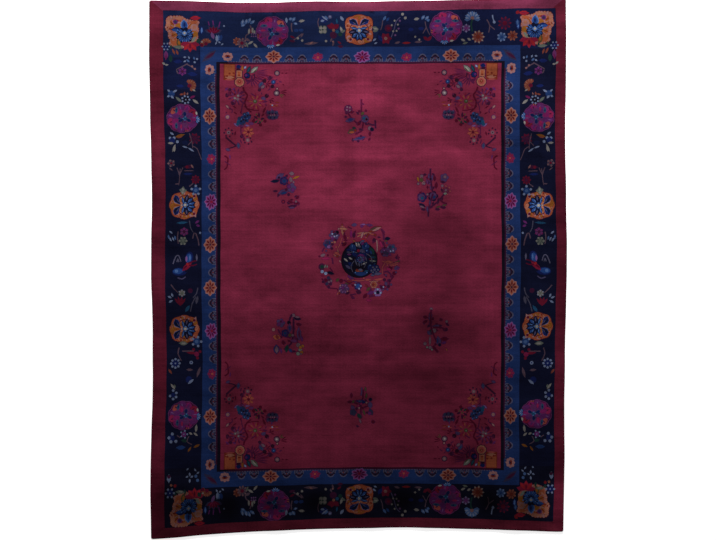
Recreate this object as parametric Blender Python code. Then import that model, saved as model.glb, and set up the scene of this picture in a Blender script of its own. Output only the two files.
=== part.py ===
"""A hand-knotted wool rug with a plain field and three border bands, lying flat.

It is one solid: the cotton web and the wool pile on it, about 12 mm together. Metres, +Z up, the length along Y,
the origin at the middle of the underside. The sides aren't quite straight, and small ripples lift the edges.
"""

import bmesh
import bpy

# Nominal size, before the sides wander, and the thickness of web and pile together.
WIDTH = 2.70
LENGTH = 3.46
THICKNESS = 0.012
CORNER_RADIUS = 0.012

# How far each side stands outside its nominal line, in millimetres, at nine even stations.
LONG_SIDES = [  # from the top end to the bottom end
    {"left": 13, "right": 5},
    {"left": 12, "right": 6},
    {"left": 3, "right": 0},
    {"left": -5, "right": 6},
    {"left": 0, "right": 11},
    {"left": -10, "right": 1},
    {"left": -9, "right": -5},
    {"left": 4, "right": -5},
    {"left": 0, "right": -12},
]
ENDS = [  # from the left side to the right side
    {"top": 0, "bottom": 55},
    {"top": -8, "bottom": 27},
    {"top": -18, "bottom": 5},
    {"top": -8, "bottom": -9},
    {"top": -10, "bottom": -17},
    {"top": -4, "bottom": -22},
    {"top": 2, "bottom": -13},
    {"top": 9, "bottom": -5},
    {"top": 14, "bottom": 7},
]
WANDER_REACH = 0.75  # a side's wandering has died out this far in

# The ripples that lift the edge: where along the side, half the ripple's length, and its height.
RIPPLES = {
    "left": [
        {"at": 1.36, "half": 0.13, "rise": 0.004},
        {"at": 0.93, "half": 0.12, "rise": 0.006},
        {"at": 0.62, "half": 0.10, "rise": 0.003},
        {"at": 0.21, "half": 0.12, "rise": 0.004},
        {"at": -0.10, "half": 0.11, "rise": 0.005},
        {"at": -0.57, "half": 0.13, "rise": 0.006},
        {"at": -1.02, "half": 0.12, "rise": 0.003},
        {"at": -1.42, "half": 0.11, "rise": 0.004},
    ],
    "right": [
        {"at": 1.48, "half": 0.12, "rise": 0.004},
        {"at": 1.14, "half": 0.11, "rise": 0.003},
        {"at": 0.52, "half": 0.13, "rise": 0.006},
        {"at": 0.16, "half": 0.11, "rise": 0.004},
        {"at": -0.32, "half": 0.12, "rise": 0.004},
        {"at": -0.70, "half": 0.14, "rise": 0.006},
        {"at": -1.23, "half": 0.12, "rise": 0.004},
    ],
    "top": [
        {"at": -1.10, "half": 0.12, "rise": 0.005},
        {"at": -0.67, "half": 0.11, "rise": 0.006},
        {"at": -0.23, "half": 0.13, "rise": 0.004},
        {"at": 0.20, "half": 0.11, "rise": 0.005},
        {"at": 0.66, "half": 0.12, "rise": 0.003},
        {"at": 1.06, "half": 0.11, "rise": 0.005},
    ],
    "bottom": [
        {"at": -1.16, "half": 0.12, "rise": 0.004},
        {"at": -0.52, "half": 0.13, "rise": 0.005},
        {"at": 0.08, "half": 0.12, "rise": 0.003},
        {"at": 0.45, "half": 0.11, "rise": 0.004},
        {"at": 1.02, "half": 0.13, "rise": 0.006},
    ],
}
RIPPLE_REACH = 0.24  # and they have flattened out this far in

# The inner edge of each border band, measured in from each side, and the colour of its wool.
BANDS = [
    {"name": "guard", "left": 0.091, "right": 0.067, "top": 0.065, "bottom": 0.072, "wool": (0.155, 0.020, 0.045)},
    {"name": "main_border", "left": 0.329, "right": 0.298, "top": 0.300, "bottom": 0.297, "wool": (0.010, 0.017, 0.055)},
    {"name": "inner_border", "left": 0.430, "right": 0.399, "top": 0.400, "bottom": 0.394, "wool": (0.022, 0.060, 0.190)},
    {"name": "dark_line", "left": 0.453, "right": 0.420, "top": 0.413, "bottom": 0.407, "wool": (0.004, 0.005, 0.015)},
]
FIELD_WOOL = (0.170, 0.018, 0.048)
SIDES = ("left", "right", "top", "bottom")

# The rounded edge, from the underside round to the top of the pile: how far in, and how high.
EDGE_PROFILE = [
    {"inset": 0.0020, "height": 0.0},
    {"inset": 0.0004, "height": 0.0012},
    {"inset": 0.0, "height": 0.0045},
    {"inset": 0.0008, "height": 0.0085},
    {"inset": 0.0030, "height": 0.0110},
    {"inset": 0.0075, "height": THICKNESS},
]
UNDERSIDE_INSETS = (0.30, 0.20, 0.11, 0.04)
STEP_ALONG = 0.06  # between points along a side
CORNER_STEPS = (0.0, 0.45, 1.0)  # points near a corner, in corner radii


def smooth(t):
    """Goes from 0 to 1 with level ends."""
    t = min(1.0, max(0.0, t))
    return t * t * (3 - 2 * t)


def between_stations(table, column, share):
    """The column's value, in metres, at a share of the way along its side, on a smooth curve through the stations."""
    last = len(table) - 1
    place = min(max(share, 0.0), 1.0) * last
    k = min(int(place), last - 1)
    t = place - k
    a, b, c, d = (table[min(max(k + n, 0), last)][column] for n in (-1, 0, 1, 2))
    curve = b + 0.5 * t * (c - a + t * (2 * a - 5 * b + 4 * c - d + t * (3 * (b - c) + d - a)))
    return curve / 1000


def distances_in(x, y):
    """How far a nominal point lies in from each nominal side."""
    return {"left": x + WIDTH / 2, "right": WIDTH / 2 - x, "top": LENGTH / 2 - y, "bottom": y + LENGTH / 2}


def laid(x, y):
    """Where a nominal point lies once the sides have wandered."""
    across, down = x / WIDTH + 0.5, 0.5 - y / LENGTH
    out = {side: between_stations(LONG_SIDES, side, down) for side in ("left", "right")}
    out.update({side: between_stations(ENDS, side, across) for side in ("top", "bottom")})
    for side, inward in distances_in(x, y).items():
        out[side] *= 1 - smooth(inward / WANDER_REACH)
    return x + out["right"] - out["left"], y + out["top"] - out["bottom"]


def ripple_height(x, y):
    """How far the rug is lifted off the floor at a nominal point."""
    inward = distances_in(x, y)
    height = 0.0
    for side, ripples in RIPPLES.items():
        along = y if side in ("left", "right") else x
        fade = 1 - smooth(inward[side] / RIPPLE_REACH)
        for ripple in ripples:
            height += ripple["rise"] * fade * (1 - smooth(abs(along - ripple["at"]) / ripple["half"]))
    return height


def side_stations(length):
    """Even points along a side of this length, closer at the corners, as distances from its start."""
    near = [CORNER_RADIUS * step for step in CORNER_STEPS]
    count = round((length - 2 * near[-1]) / STEP_ALONG)
    middle = [near[-1] + (length - 2 * near[-1]) * k / count for k in range(1, count)]
    return near + middle + [length - d for d in reversed(near)]


def rounded(x, y, low, high, inset):
    """Draws a point near an outer corner in, onto the corner's arc."""
    radius = CORNER_RADIUS - inset
    if radius <= 0:
        return x, y
    corner_x = low[0] + radius if x < 0 else high[0] - radius
    corner_y = low[1] + radius if y < 0 else high[1] - radius
    dx, dy = x - corner_x, y - corner_y
    if dx * x < 0 or dy * y < 0:
        return x, y
    reach = (dx * dx + dy * dy) ** 0.5
    if reach <= radius:
        return x, y
    return corner_x + dx * radius / reach, corner_y + dy * radius / reach


def ring(insets, height):
    """A closed loop of points round the rug, this far in from each side and this high above the underside."""
    low = (-WIDTH / 2 + insets["left"], -LENGTH / 2 + insets["bottom"])
    high = (WIDTH / 2 - insets["right"], LENGTH / 2 - insets["top"])
    across = [low[0] + (high[0] - low[0]) * s / WIDTH for s in side_stations(WIDTH)]
    along = [low[1] + (high[1] - low[1]) * s / LENGTH for s in side_stations(LENGTH)]
    corners = [(x, low[1]) for x in across[:-1]] + [(high[0], y) for y in along[:-1]]
    corners += [(x, high[1]) for x in reversed(across[1:])] + [(low[0], y) for y in reversed(along[1:])]
    points = []
    for x, y in corners:
        x, y = rounded(x, y, low, high, min(insets.values()))
        points.append((*laid(x, y), height + ripple_height(x, y)))
    return points


def all_round(inset):
    """The same distance in from every side."""
    return dict.fromkeys(SIDES, inset)


def wool(name, colour):
    """Matt wool pile of one colour."""
    material = bpy.data.materials.new(name)
    material.use_nodes = True
    shader = material.node_tree.nodes["Principled BSDF"]
    shader.inputs["Base Color"].default_value = (*colour, 1.0)
    shader.inputs["Roughness"].default_value = 0.9
    shader.inputs["Metallic"].default_value = 0.0
    return material


def make_rug():
    """The rug as loops that run from the middle of the underside, round the edge, to the field."""
    loops = [(all_round(inset), 0.0) for inset in UNDERSIDE_INSETS]
    loops += [(all_round(row["inset"]), row["height"]) for row in EDGE_PROFILE]
    loops += [({side: band[side] for side in SIDES}, THICKNESS) for band in BANDS]
    mesh = bpy.data.meshes.new("rug")
    wools = [wool(band["name"] + "_wool", band["wool"]) for band in BANDS]
    for material in [*wools, wool("field_wool", FIELD_WOOL)]:
        mesh.materials.append(material)

    shape = bmesh.new()
    rings = [[shape.verts.new(point) for point in ring(insets, height)] for insets, height in loops]
    shape.faces.new(list(reversed(rings[0])))
    first_band = len(rings) - len(BANDS)
    for k in range(1, len(rings)):
        outer, inner = rings[k - 1], rings[k]
        for n in range(len(inner)):
            after = (n + 1) % len(inner)
            face = shape.faces.new((outer[n], outer[after], inner[after], inner[n]))
            face.material_index = max(0, k - first_band)
            face.smooth = True
    field = shape.faces.new(rings[-1])
    field.material_index = len(BANDS)
    centre_on_origin(shape)
    shape.to_mesh(mesh)
    shape.free()
    rug = bpy.data.objects.new("rug", mesh)
    bpy.context.scene.collection.objects.link(rug)
    return rug


def centre_on_origin(shape):
    """Puts the middle of the outline over the origin."""
    for axis in (0, 1):
        places = [vert.co[axis] for vert in shape.verts]
        middle = (min(places) + max(places)) / 2
        for vert in shape.verts:
            vert.co[axis] -= middle


for leftover in list(bpy.data.objects):
    bpy.data.objects.remove(leftover)
make_rug()
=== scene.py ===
import cmath
import math

import bpy
import numpy as np
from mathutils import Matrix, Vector
from mathutils.bvhtree import BVHTree
from mathutils.geometry import delaunay_2d_cdt


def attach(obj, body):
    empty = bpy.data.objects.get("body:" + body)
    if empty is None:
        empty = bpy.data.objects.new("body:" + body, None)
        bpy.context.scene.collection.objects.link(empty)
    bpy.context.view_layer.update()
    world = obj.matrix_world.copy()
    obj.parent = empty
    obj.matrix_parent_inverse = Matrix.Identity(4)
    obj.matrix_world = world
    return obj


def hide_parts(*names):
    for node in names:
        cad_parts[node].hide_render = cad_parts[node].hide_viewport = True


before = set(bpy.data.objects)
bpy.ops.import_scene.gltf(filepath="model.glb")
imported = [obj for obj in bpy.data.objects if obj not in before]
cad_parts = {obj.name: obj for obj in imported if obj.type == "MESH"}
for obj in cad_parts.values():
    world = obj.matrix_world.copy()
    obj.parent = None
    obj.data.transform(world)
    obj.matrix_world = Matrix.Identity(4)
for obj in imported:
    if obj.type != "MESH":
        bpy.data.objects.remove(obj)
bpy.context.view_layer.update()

# The ground of the rug: a plain burgundy field, a dark line, a blue band, a navy border and a burgundy guard.
# It is all one piece of hand-knotted wool, so the bands and every flower on them are patches of dyed knots. They
# are laid down in turn on the weaver's squared chart, where one square is two knots, and the last one shows.
SQUARE = 0.00652
WIDTH = 2.70
LENGTH = 3.46
BANDS = [
    {"wool": "guard", "left": 0, "right": 0, "top": 0, "bottom": 0},
    {"wool": "navy", "left": 0.091, "right": 0.067, "top": 0.065, "bottom": 0.072},
    {"wool": "band blue", "left": 0.329, "right": 0.298, "top": 0.300, "bottom": 0.297},
    {"wool": "ink", "left": 0.430, "right": 0.399, "top": 0.400, "bottom": 0.394},
    {"wool": "burgundy", "left": 0.453, "right": 0.420, "top": 0.413, "bottom": 0.407},
]
DYES = {  # each wool as it looks in even light
    "guard": (88, 33, 55),
    # painted light and shade: the guard and navy variants below are the same wools, darker away from the lamp and
    # lighter near it
    "shaded side guard": (71, 18, 32),
    "shaded end guard": (75, 21, 34),
    "sheen-lit far guard": (84, 31, 51),
    "navy": (9, 12, 30),
    "lit far navy": (13, 21, 46),
    "middle navy": (10, 15, 39),
    "shaded near navy": (9, 11, 25),
    "band blue": (19, 34, 70),
    "ink": (12, 9, 20),
    "burgundy": (92, 27, 46),
}


def band_box(band):
    """A band's outline on the chart, whose origin is the middle of the rug, with x across and y up its length."""
    low = complex(band["left"] - WIDTH / 2, band["bottom"] - LENGTH / 2) / SQUARE
    high = complex(WIDTH / 2 - band["right"], LENGTH / 2 - band["top"]) / SQUARE
    return low, high


def rectangle(low, high):
    """The corners of an upright rectangle, as complex numbers."""
    return [low, complex(high.real, low.imag), high, complex(low.real, high.imag)]


field_low, field_high = band_box(BANDS[4])
ground = []
for sign in (-1, 1):  # the guard is painted darker down the sides and along the near end, as shade away from the lamp, and paler and pinker at the far end, as a painted sheen
    edge = sign * 205.2
    ground.append(("shaded side guard", [edge + 238j, edge - sign * 14 + 250j, edge - sign * 14 - 252j, edge - 262j]))
ground.append(("shaded end guard", [-204 - 263.6j, -190 - 252j, 190 - 252j, 204 - 263.6j]))
ground.append(("sheen-lit far guard", [-204 + 263.9j, -190 + 252j, 190 + 252j, 204 + 263.9j]))
ground.append(("navy", rectangle(*band_box(BANDS[1]))))
# Painted light and shade on the navy, in three more patches: lightest and bluest at the far end's left and lighter
# along the far end, near the lamp, and blackest along the near end.
ground.append(("middle navy", [-193 + 255j, -193 + 176j, -150 + 176j, -150 + 216j, 196 + 216j, 196 + 255j]))
ground.append(("lit far navy", [-193 + 255j, -193 + 208j, -158 + 208j, -158 + 216j, 12 + 216j, 30 + 255j]))
ground.append(("shaded near navy", [-193 - 255j, -193 - 200j, 196 - 200j, 196 - 255j]))
ground += [(band["wool"], rectangle(*band_box(band))) for band in BANDS[2:]]


# The flowers of the blue band: peonies in turn of orange, red and magenta wool at an even pitch, with a pair of
# little cloud arches between each two, and a thin tan line that scallops along the band's inner edge. They are
# knotted like the rest, so here they are petals and arches drawn square by square.
DYES.update({
    "tan pink": (110, 76, 76),
    "peach": (116, 72, 58),
    "orange": (112, 55, 35),
    "rust": (84, 28, 20),
    "rose": (104, 22, 56),
    "magenta": (90, 20, 66),
    "crimson": (88, 16, 36),
    "stone": (60, 58, 76),
    "plum": (42, 13, 34),
    "teal": (18, 48, 72),
    "cream": (114, 109, 106),
    "heather": (52, 48, 72),
    "dusk": (32, 30, 52),
    "lilac": (88, 58, 100),
    "mauve": (70, 30, 66),
})


def blade(base, tip, wide, full=0.5, bend=0.0, steps=3):
    """The outline of a leaf or petal from base to tip, widest at the share full, and bowed to its left by bend."""
    along = tip - base
    across = 1j * along / abs(along)
    swell = math.log(0.5) / math.log(full)

    def edge(t, side):
        reach = side * wide / 2 * math.sin(math.pi * t ** swell) ** 0.8
        return base + along * t + across * (reach + abs(along) * bend * math.sin(math.pi * t))

    shares = [k / (steps + 1) for k in range(1, steps + 1)]
    return [base, *[edge(t, -1) for t in shares], tip, *[edge(t, 1) for t in reversed(shares)]]


def round_patch(at, radius, lobes=0, depth=0.25, squash=1.0, turn=0.0, steps=12):
    """A round or oval outline, scalloped into lobes where there are any."""
    count = max(steps, 6 * lobes)
    way = cmath.rect(1, math.radians(turn))
    outline = []
    for k in range(count):
        angle = math.tau * k / count
        reach = radius * (1 - depth * (1 - abs(math.cos(lobes * angle / 2))) if lobes else 1)
        outline.append(at + way * complex(reach * math.cos(angle), squash * reach * math.sin(angle)))
    return outline


def strip(places, wide, taper=0.5):
    """A stem: a strip along a smooth curve through a few places, narrower towards its end."""
    last = len(places) - 1
    line = []
    for k in range(last):
        a, b, c, d = (places[min(max(k + n, 0), last)] for n in (-1, 0, 1, 2))
        for t in (0, 0.5):
            line.append(b + 0.5 * t * (c - a + t * (2 * a - 5 * b + 4 * c - d + t * (3 * (b - c) + d - a))))
    line.append(places[-1])
    sides = ([], [])
    for k, z in enumerate(line):
        way = line[min(k + 1, len(line) - 1)] - line[max(k - 1, 0)]
        half = 1j * way / abs(way) * wide / 2 * (1 - (1 - taper) * k / (len(line) - 1))
        sides[0].append(z - half)
        sides[1].append(z + half)
    return sides[0] + sides[1][::-1]


def dots(dye, radius, *places):
    """Small round patches of one dye."""
    return [(dye, round_patch(z, radius, steps=10 if radius > 3 else 7 if radius > 1.2 else 5)) for z in places]


def leaves(dye, wide, *ends):
    """Leaves of one dye; the ends come in pairs, from base to tip."""
    pairs = zip(ends[::2], ends[1::2])
    return [(dye, blade(base, tip, wide, steps=2 if abs(tip - base) > 4 else 1)) for base, tip in pairs]


def twigs(dye, wide, *lines):
    """Thin stems of one dye, each through a list of places."""
    return [(dye, strip(line, wide, 0.8)) for line in lines]


def fan(dye, count, spread, near, far, wide, full=0.6, middle=90.0):
    """Petals that spread from one point, evenly over an angle about the middle one."""
    petals = []
    for k in range(count):
        angle = middle + spread * (k / (count - 1) - 0.5 if count > 1 else 0)
        way = cmath.rect(1, math.radians(angle))
        petals.append((dye, blade(near * way, far * way, wide, full, steps=2 if far - near > 3 else 1)))
    return petals


def double_area(shape):
    """Twice the area of an outline, more than 0 where it runs to the left."""
    return sum((a.conjugate() * b).imag for a, b in zip(shape, shape[1:] + shape[:1]))


def grown(outline, by):
    """The same outline, a little larger all round."""
    side = -1j if double_area(outline) > 0 else 1j
    larger = []
    for k, z in enumerate(outline):
        way = outline[(k + 1) % len(outline)] - outline[k - 1]
        larger.append(z + side * way / abs(way) * by)
    return larger


def edged(motif, dye, by):
    """A motif whose every patch has a thin line of another wool round it."""
    drawn = []
    for name, outline in motif:
        drawn += [(dye, grown(outline, by)), (name, outline)]
    return drawn


def placed(motif, at=0, turn=0.0, size=1.0, flip=False):
    """The same motif somewhere else on the chart, turned, and left for right where it is flipped."""
    way = cmath.rect(size, math.radians(turn))
    return [(dye, [at + way * (-z.conjugate() if flip else z) for z in outline]) for dye, outline in motif]


def daisy(petal, tip, heart, at, radius, count, turn=0.0):
    """A small open flower: petals with paler tips round a heart."""
    spread = 360 - 360 / count
    wide = 1.3 * math.pi * radius / count
    drawn = fan(petal, count, spread, 0.15 * radius, radius, wide, 0.66, turn)
    drawn += fan(tip, count, spread, 0.6 * radius, radius, 0.5 * wide, 0.6, turn)
    return placed(drawn + dots(heart, 0.34 * radius, 0), at)


def open_flower(edge, body, streak, far, count, turn=90.0, squash=1.0):
    """A flower of the band: broad pale-edged petals, each with a dark streak, on a dark heart."""
    spread = 360 - 360 / count
    wide = 5.2 * far / count
    drawn = dots("plum", 0.5 * far, 0)
    for k in range(count):
        way = cmath.rect(1, math.radians(turn + 360 * k / count))
        reach = far * (1 + 0.04 * (-1) ** k)
        drawn += [(edge, blade(0.8 * way, reach * way, wide, 0.64)), (body, blade(way, 0.86 * reach * way, 0.62 * wide, 0.6))]
    drawn += fan(streak, count, spread, 0.2 * far, 0.72 * far, 0.32 * wide, 0.5, turn + spread / 2)
    return [(dye, [complex(z.real, squash * z.imag) for z in outline]) for dye, outline in drawn]


def band_bud():
    """The small flower at each end of a row: pale petals round a rust heart."""
    drawn = dots("tan pink", 1.7, -2.8 + 2.2j, 0.2 + 2.9j, 3 + 2.1j, -3.6 - 0.2j, 3.8 - 0.2j, -2.4 - 2.6j, 2.6 - 2.6j, 0.1 - 3.2j)
    return drawn + leaves("rust", 2.8, -3.2 + 0.4j, 3.4 + 0.4j) + dots("black cherry", 1.1, 0.2)


def cloud_arch():
    """One little arch on the band's inner edge: a thin pale line, a dark chevron under it and pale clouds below."""
    drawn = [("stone", round_patch(-2.8j, 5.1, 3, 0.2, turn=90)), ("dusk", round_patch(-3j, 4.2, 3, 0.2, turn=90))]
    drawn += dots("stone", 0.9, -2.4 - 3.8j, 2.4 - 3.8j, -1 - 2.6j, 1 - 2.6j) + leaves("plum", 1.6, -2.6 - 5.4j, 2.6 - 5.4j)
    drawn += [("black cherry", [-4.4 - 1.8j, -3.6 - 2.6j, -0.6j, 3.6 - 2.6j, 4.4 - 1.8j, 0.9j])] + dots("ink", 0.8, 0.3j, -3.4 - 1.8j, 3.4 - 1.8j)
    return [(dye, [complex(z.real, max(z.imag, -5.6)) for z in outline]) for dye, outline in drawn + dots("rust", 0.7, -2.6j)]


PITCH_ACROSS = 44.2
PITCH_ALONG = 42.9
ROWS = [  # each row's middle on the chart, the way it faces, half its length, its pitch and its flowers
    {"at": 4 + 209.6j, "turn": 0, "half": 134, "pitch": PITCH_ACROSS, "flowers": "PRMRP"},
    {"at": 1 - 210.5j, "turn": 180, "half": 134, "pitch": PITCH_ACROSS, "flowers": "PRMRP"},
    {"at": -147.8 - 1j, "turn": 90, "half": 197, "pitch": PITCH_ALONG, "flowers": "PRMPPMRP"},
    {"at": 152.6 + 0j, "turn": -90, "half": 197, "pitch": PITCH_ALONG, "flowers": "PRMPPMRP"},
]
FLOWERS = {
    "P": placed(open_flower("tan pink", "orange", "maroon", 8.2, 8, 90, 0.8), 0.2j),
    "R": placed(open_flower("mauve", "crimson", "rose", 5.8, 7, 90, 0.8) + dots("coral", 1.3, -0.4j), -0.8j),
    "M": placed(open_flower("lilac", "magenta", "plum", 8.6, 9, 90, 0.76) + dots("crimson", 1.5, -0.6j), -0.4j),
}
ARCH_FROM_MIDDLE = 6.3  # the two arches of a pair stand this far to each side of the middle between two flowers

band_flowers = []
for row in ROWS:
    count = len(row["flowers"])
    places = [row["pitch"] * (k - (count - 1) / 2) for k in range(count)]
    stops = [-row["half"], *places, row["half"]]
    drawn = []
    for before, after in zip(stops, stops[1:]):
        middle = (before + after) / 2
        drawn += placed(cloud_arch(), middle - ARCH_FROM_MIDDLE) + placed(cloud_arch(), middle + ARCH_FROM_MIDDLE)
    beads = np.arange(stops[0], stops[-1], 2.6)
    drawn += twigs("plum", 1.5, [complex(x, -6.3) for x in beads[::6]])
    drawn += leaves("stone", 1.2, *[complex(x + share, -5.2) for x in beads for share in (0, 1.9)])
    for place, flower in zip(places, row["flowers"]):
        drawn += placed(FLOWERS[flower], place)
    for end in (stops[0], stops[-1]):
        drawn += placed(band_bud(), end)
    band_flowers += placed(drawn, row["at"], row["turn"])
for corner in (-148 + 210j, 151 + 210j, -147 - 212j, 152 - 211j):
    slope = 1 if corner.real * corner.imag < 0 else -1
    band_flowers += leaves("dusk", 6, corner - 7 - 6j * slope, corner + 7 + 6j * slope)
    band_flowers += leaves("plum", 3, corner - 4 - 3j * slope, corner + 6 + 4j * slope)


# The great flowers of the navy border: round magenta peonies and orange lotuses in turn, a leafy orange lotus in
# each corner, and a butterfly half way up each side. All of them open towards the outside of the rug. They are
# knotted in six or seven dyes each, with no outline but the change of wool.
DYES.update({
    "violet": (66, 24, 68),
    "deep blue": (12, 20, 58),
    "bright blue": (24, 48, 94),
    "sky": (56, 80, 122),
    "ice": (98, 108, 136),
    "ochre": (104, 62, 22),
    "sage": (80, 84, 78),
    "olive": (54, 48, 30),
    "red": (108, 22, 28),
    "coral": (114, 50, 47),
    "black cherry": (32, 10, 25),
    "pine": (16, 36, 34),
    "bark": (58, 44, 54),
    "russet": (104, 50, 38),
    "maroon": (60, 8, 26),
})


def magenta_peony(wide):
    """A round peony of many magenta and violet petals with pale lines, two teal eyes, a blue flower and a bud below."""
    outer, middle, inner = [], [], []
    wools = ("violet", "rose", "magenta", "violet", "magenta", "violet", "magenta", "crimson", "magenta", "violet", "coral")
    for k in range(11):
        way = cmath.rect(1, math.radians(76 + 360 * k / 11))
        outer.append((wools[k], blade(7 * way, (15 + 0.6 * (k % 2)) * way, 8.4, 0.58, 0.06 * (-1) ** k)))
        outer.append((("lilac", "plum", "mauve")[k % 3], blade(9.4 * way, 13.6 * way, 1)))
    for k in range(8):
        way = cmath.rect(1, math.radians(112 + 45 * k))
        middle.append((("magenta", "violet", "mauve")[k % 3], blade(3 * way, (11.4 - k % 2) * way, 6, 0.6)))
    for k in range(6):
        way = cmath.rect(1, math.radians(60 * k))
        inner.append((("deep blue", "violet")[k % 2], blade(way - 2.2j, (7.2 - 1.6 * (k % 2)) * way - 2.2j, 3.2, 0.62)))
    drawn = [("mauve", round_patch(0, 16, 11, 0.05, turn=76)), ("plum", round_patch(0, 15.2, 11, 0.05, turn=76))]
    drawn += edged(outer, "plum", 0.15) + edged(middle, "mauve", 0.4)
    drawn += edged(leaves("teal", 2, -11.4 + 6j, -4.6 + 6.2j, 5.4 + 6.2j, 12.4 + 5.6j), "heather", 0.7)
    drawn += dots("deep blue", 1, -7.6 + 6.2j, 9.2 + 6j) + leaves("rose", 2.4, -12 + 1.4j, -6 + 1.4j, 3 + 2j, 9.4 + 2.4j)
    drawn += edged(leaves("deep blue", 3, 0.6j, 4.6j), "heather", 0.5) + edged(inner, "heather", 0.35)
    drawn += dots("teal", 2.3, -0.4 - 2.6j) + dots("sky", 0.8, -2 - 2.4j, 1.4 - 2.8j, -0.4 - 0.8j)
    drawn += leaves("violet", 2.4, -9.4 - 6.4j, -5.4 - 10j, 7.6 - 3.4j, 12.6 - 5.4j) + leaves("russet", 1.3, -15 - 3j, -12.6 - 3.4j, -15 - 5j, -12.4 - 5.4j)
    bud = fan("sky", 3, 120, 0.5, 4.4, 2, 0.6, 270) + fan("ice", 2, 60, 1.6, 4.4, 1.2, 0.6, 270)
    drawn += edged(placed(bud, -1.6 - 13.2j), "deep blue", 0.4) + leaves("cream", 2, 3.4 - 14.2j, 7.6 - 13.4j)
    return [(dye, [complex(wide * z.real, z.imag) for z in outline]) for dye, outline in drawn]


def lotus_heart():
    """The blue lotus in the orange flowers: dark petals with bright streaks that spread below a small cream star."""
    drawn = []
    for side in (-1, 1):
        drawn.append(("bright blue", blade(0, complex(8.4 * side, 2.6), 2.6)))
        drawn += leaves("sky", 1, complex(2.4 * side, 0.8), complex(7.4 * side, 2.2))
        drawn.append(("navy", blade(-1j, complex(10.4 * side, -2.6), 4.4, 0.55)))
        drawn += leaves("heather", 1.5, complex(4.4 * side, -1.6), complex(9.4 * side, -2.6))
        drawn.append(("navy", blade(-1j, complex(7.4 * side, -8), 5.4, 0.62)))
        drawn.append(("bright blue", blade(complex(1.6 * side, -3), complex(6.6 * side, -7.4), 2.6, 0.6)))
        drawn += leaves("sky", 1, complex(3 * side, -3.4), complex(6.2 * side, -5.4))
        drawn.append(("navy", blade(-2j, complex(2.6 * side, -11), 4.4, 0.62)))
        drawn.append(("bright blue", blade(-4j, complex(2.4 * side, -10), 2.2, 0.6)))
        drawn += leaves("sky", 1, complex(1 * side, -4), complex(2.2 * side, -8))
    return drawn + [("sky", round_patch(0.2 - 0.8j, 2.9, 4, 0.5)), ("cream", round_patch(0.2 - 0.6j, 1.7, 4, 0.4, turn=45))]


def orange_lotus(heart, squareness, lobes):
    """An orange flower, squarish or round: ragged warm petals round two blue lobes, a split heart and a blue lotus."""
    rim, petals = [], []
    for k in range(36):
        angle = math.tau * k / 36
        shape = (abs(math.cos(angle)) ** squareness + abs(math.sin(angle)) ** squareness) ** (-1 / squareness)
        reach = 14.6 * shape * (1 - 0.09 * (1 - abs(math.cos(lobes * (angle - math.pi / 2) / 2))))
        rim.append(complex(0.96 * reach * math.cos(angle), 1.04 * reach * math.sin(angle)) + 0.2j)
    wools = ("tan pink", "orange", "peach", "ochre", "orange", "peach", heart)
    for k in range(12):
        tip = rim[3 * k + 1]
        petals.append((wools[k % 7], blade(0.5 * tip, 0.99 * tip, 7.4, 0.6)))
        petals.append((wools[(k + 3) % 7], blade(0.66 * tip, 0.92 * tip, 2.2)))
    drawn = [("black cherry", [z * 1.05 for z in rim]), ("orange", rim), *edged(petals, "rust", 0.3)]
    drawn += [("maroon", round_patch(-0.8j, 10.4, squash=0.92)), ("peach", round_patch(-0.8j, 9.4, squash=0.92))]
    drawn += edged(placed(fan(heart, 9, 320, 5, 9.4, 3.2, 0.6), -0.8j), "rust", 0.3)
    for side in (-1, 1):
        drawn += leaves("tan pink", 3, complex(6 * side, -8.6), complex(12.6 * side, -11.6))
        drawn += dots("maroon", 1.5, complex(8.8 * side, -9.6)) + dots("rust", 1.2, complex(11.6 * side, 4))
        drawn += edged([(heart, blade(3j, complex(4.4 * side, 12.4), 5.4, 0.62))], "rust", 0.4)
        drawn += leaves("tan pink", 1.6, complex(1.6 * side, 6.4), complex(3.4 * side, 11.4))
        wing = [("navy", blade(complex(0.8 * side, 4.2), complex(9.8 * side, 9.6), 5.4, 0.66, 0.1 * side))]
        drawn += edged(wing, "bright blue", 0.5) + leaves("deep blue", 2.2, complex(5 * side, 6), complex(9 * side, 9.4))
        drawn += leaves("heather", 1, complex(2.6 * side, 5.4), complex(6.4 * side, 8))
    drawn += leaves("rust", 1.3, 4.6j, 10.8j) + dots("cream", 0.7, 1.6j, 3.2j)
    return drawn + edged(lotus_heart(), "ink", 0.35)


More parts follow.
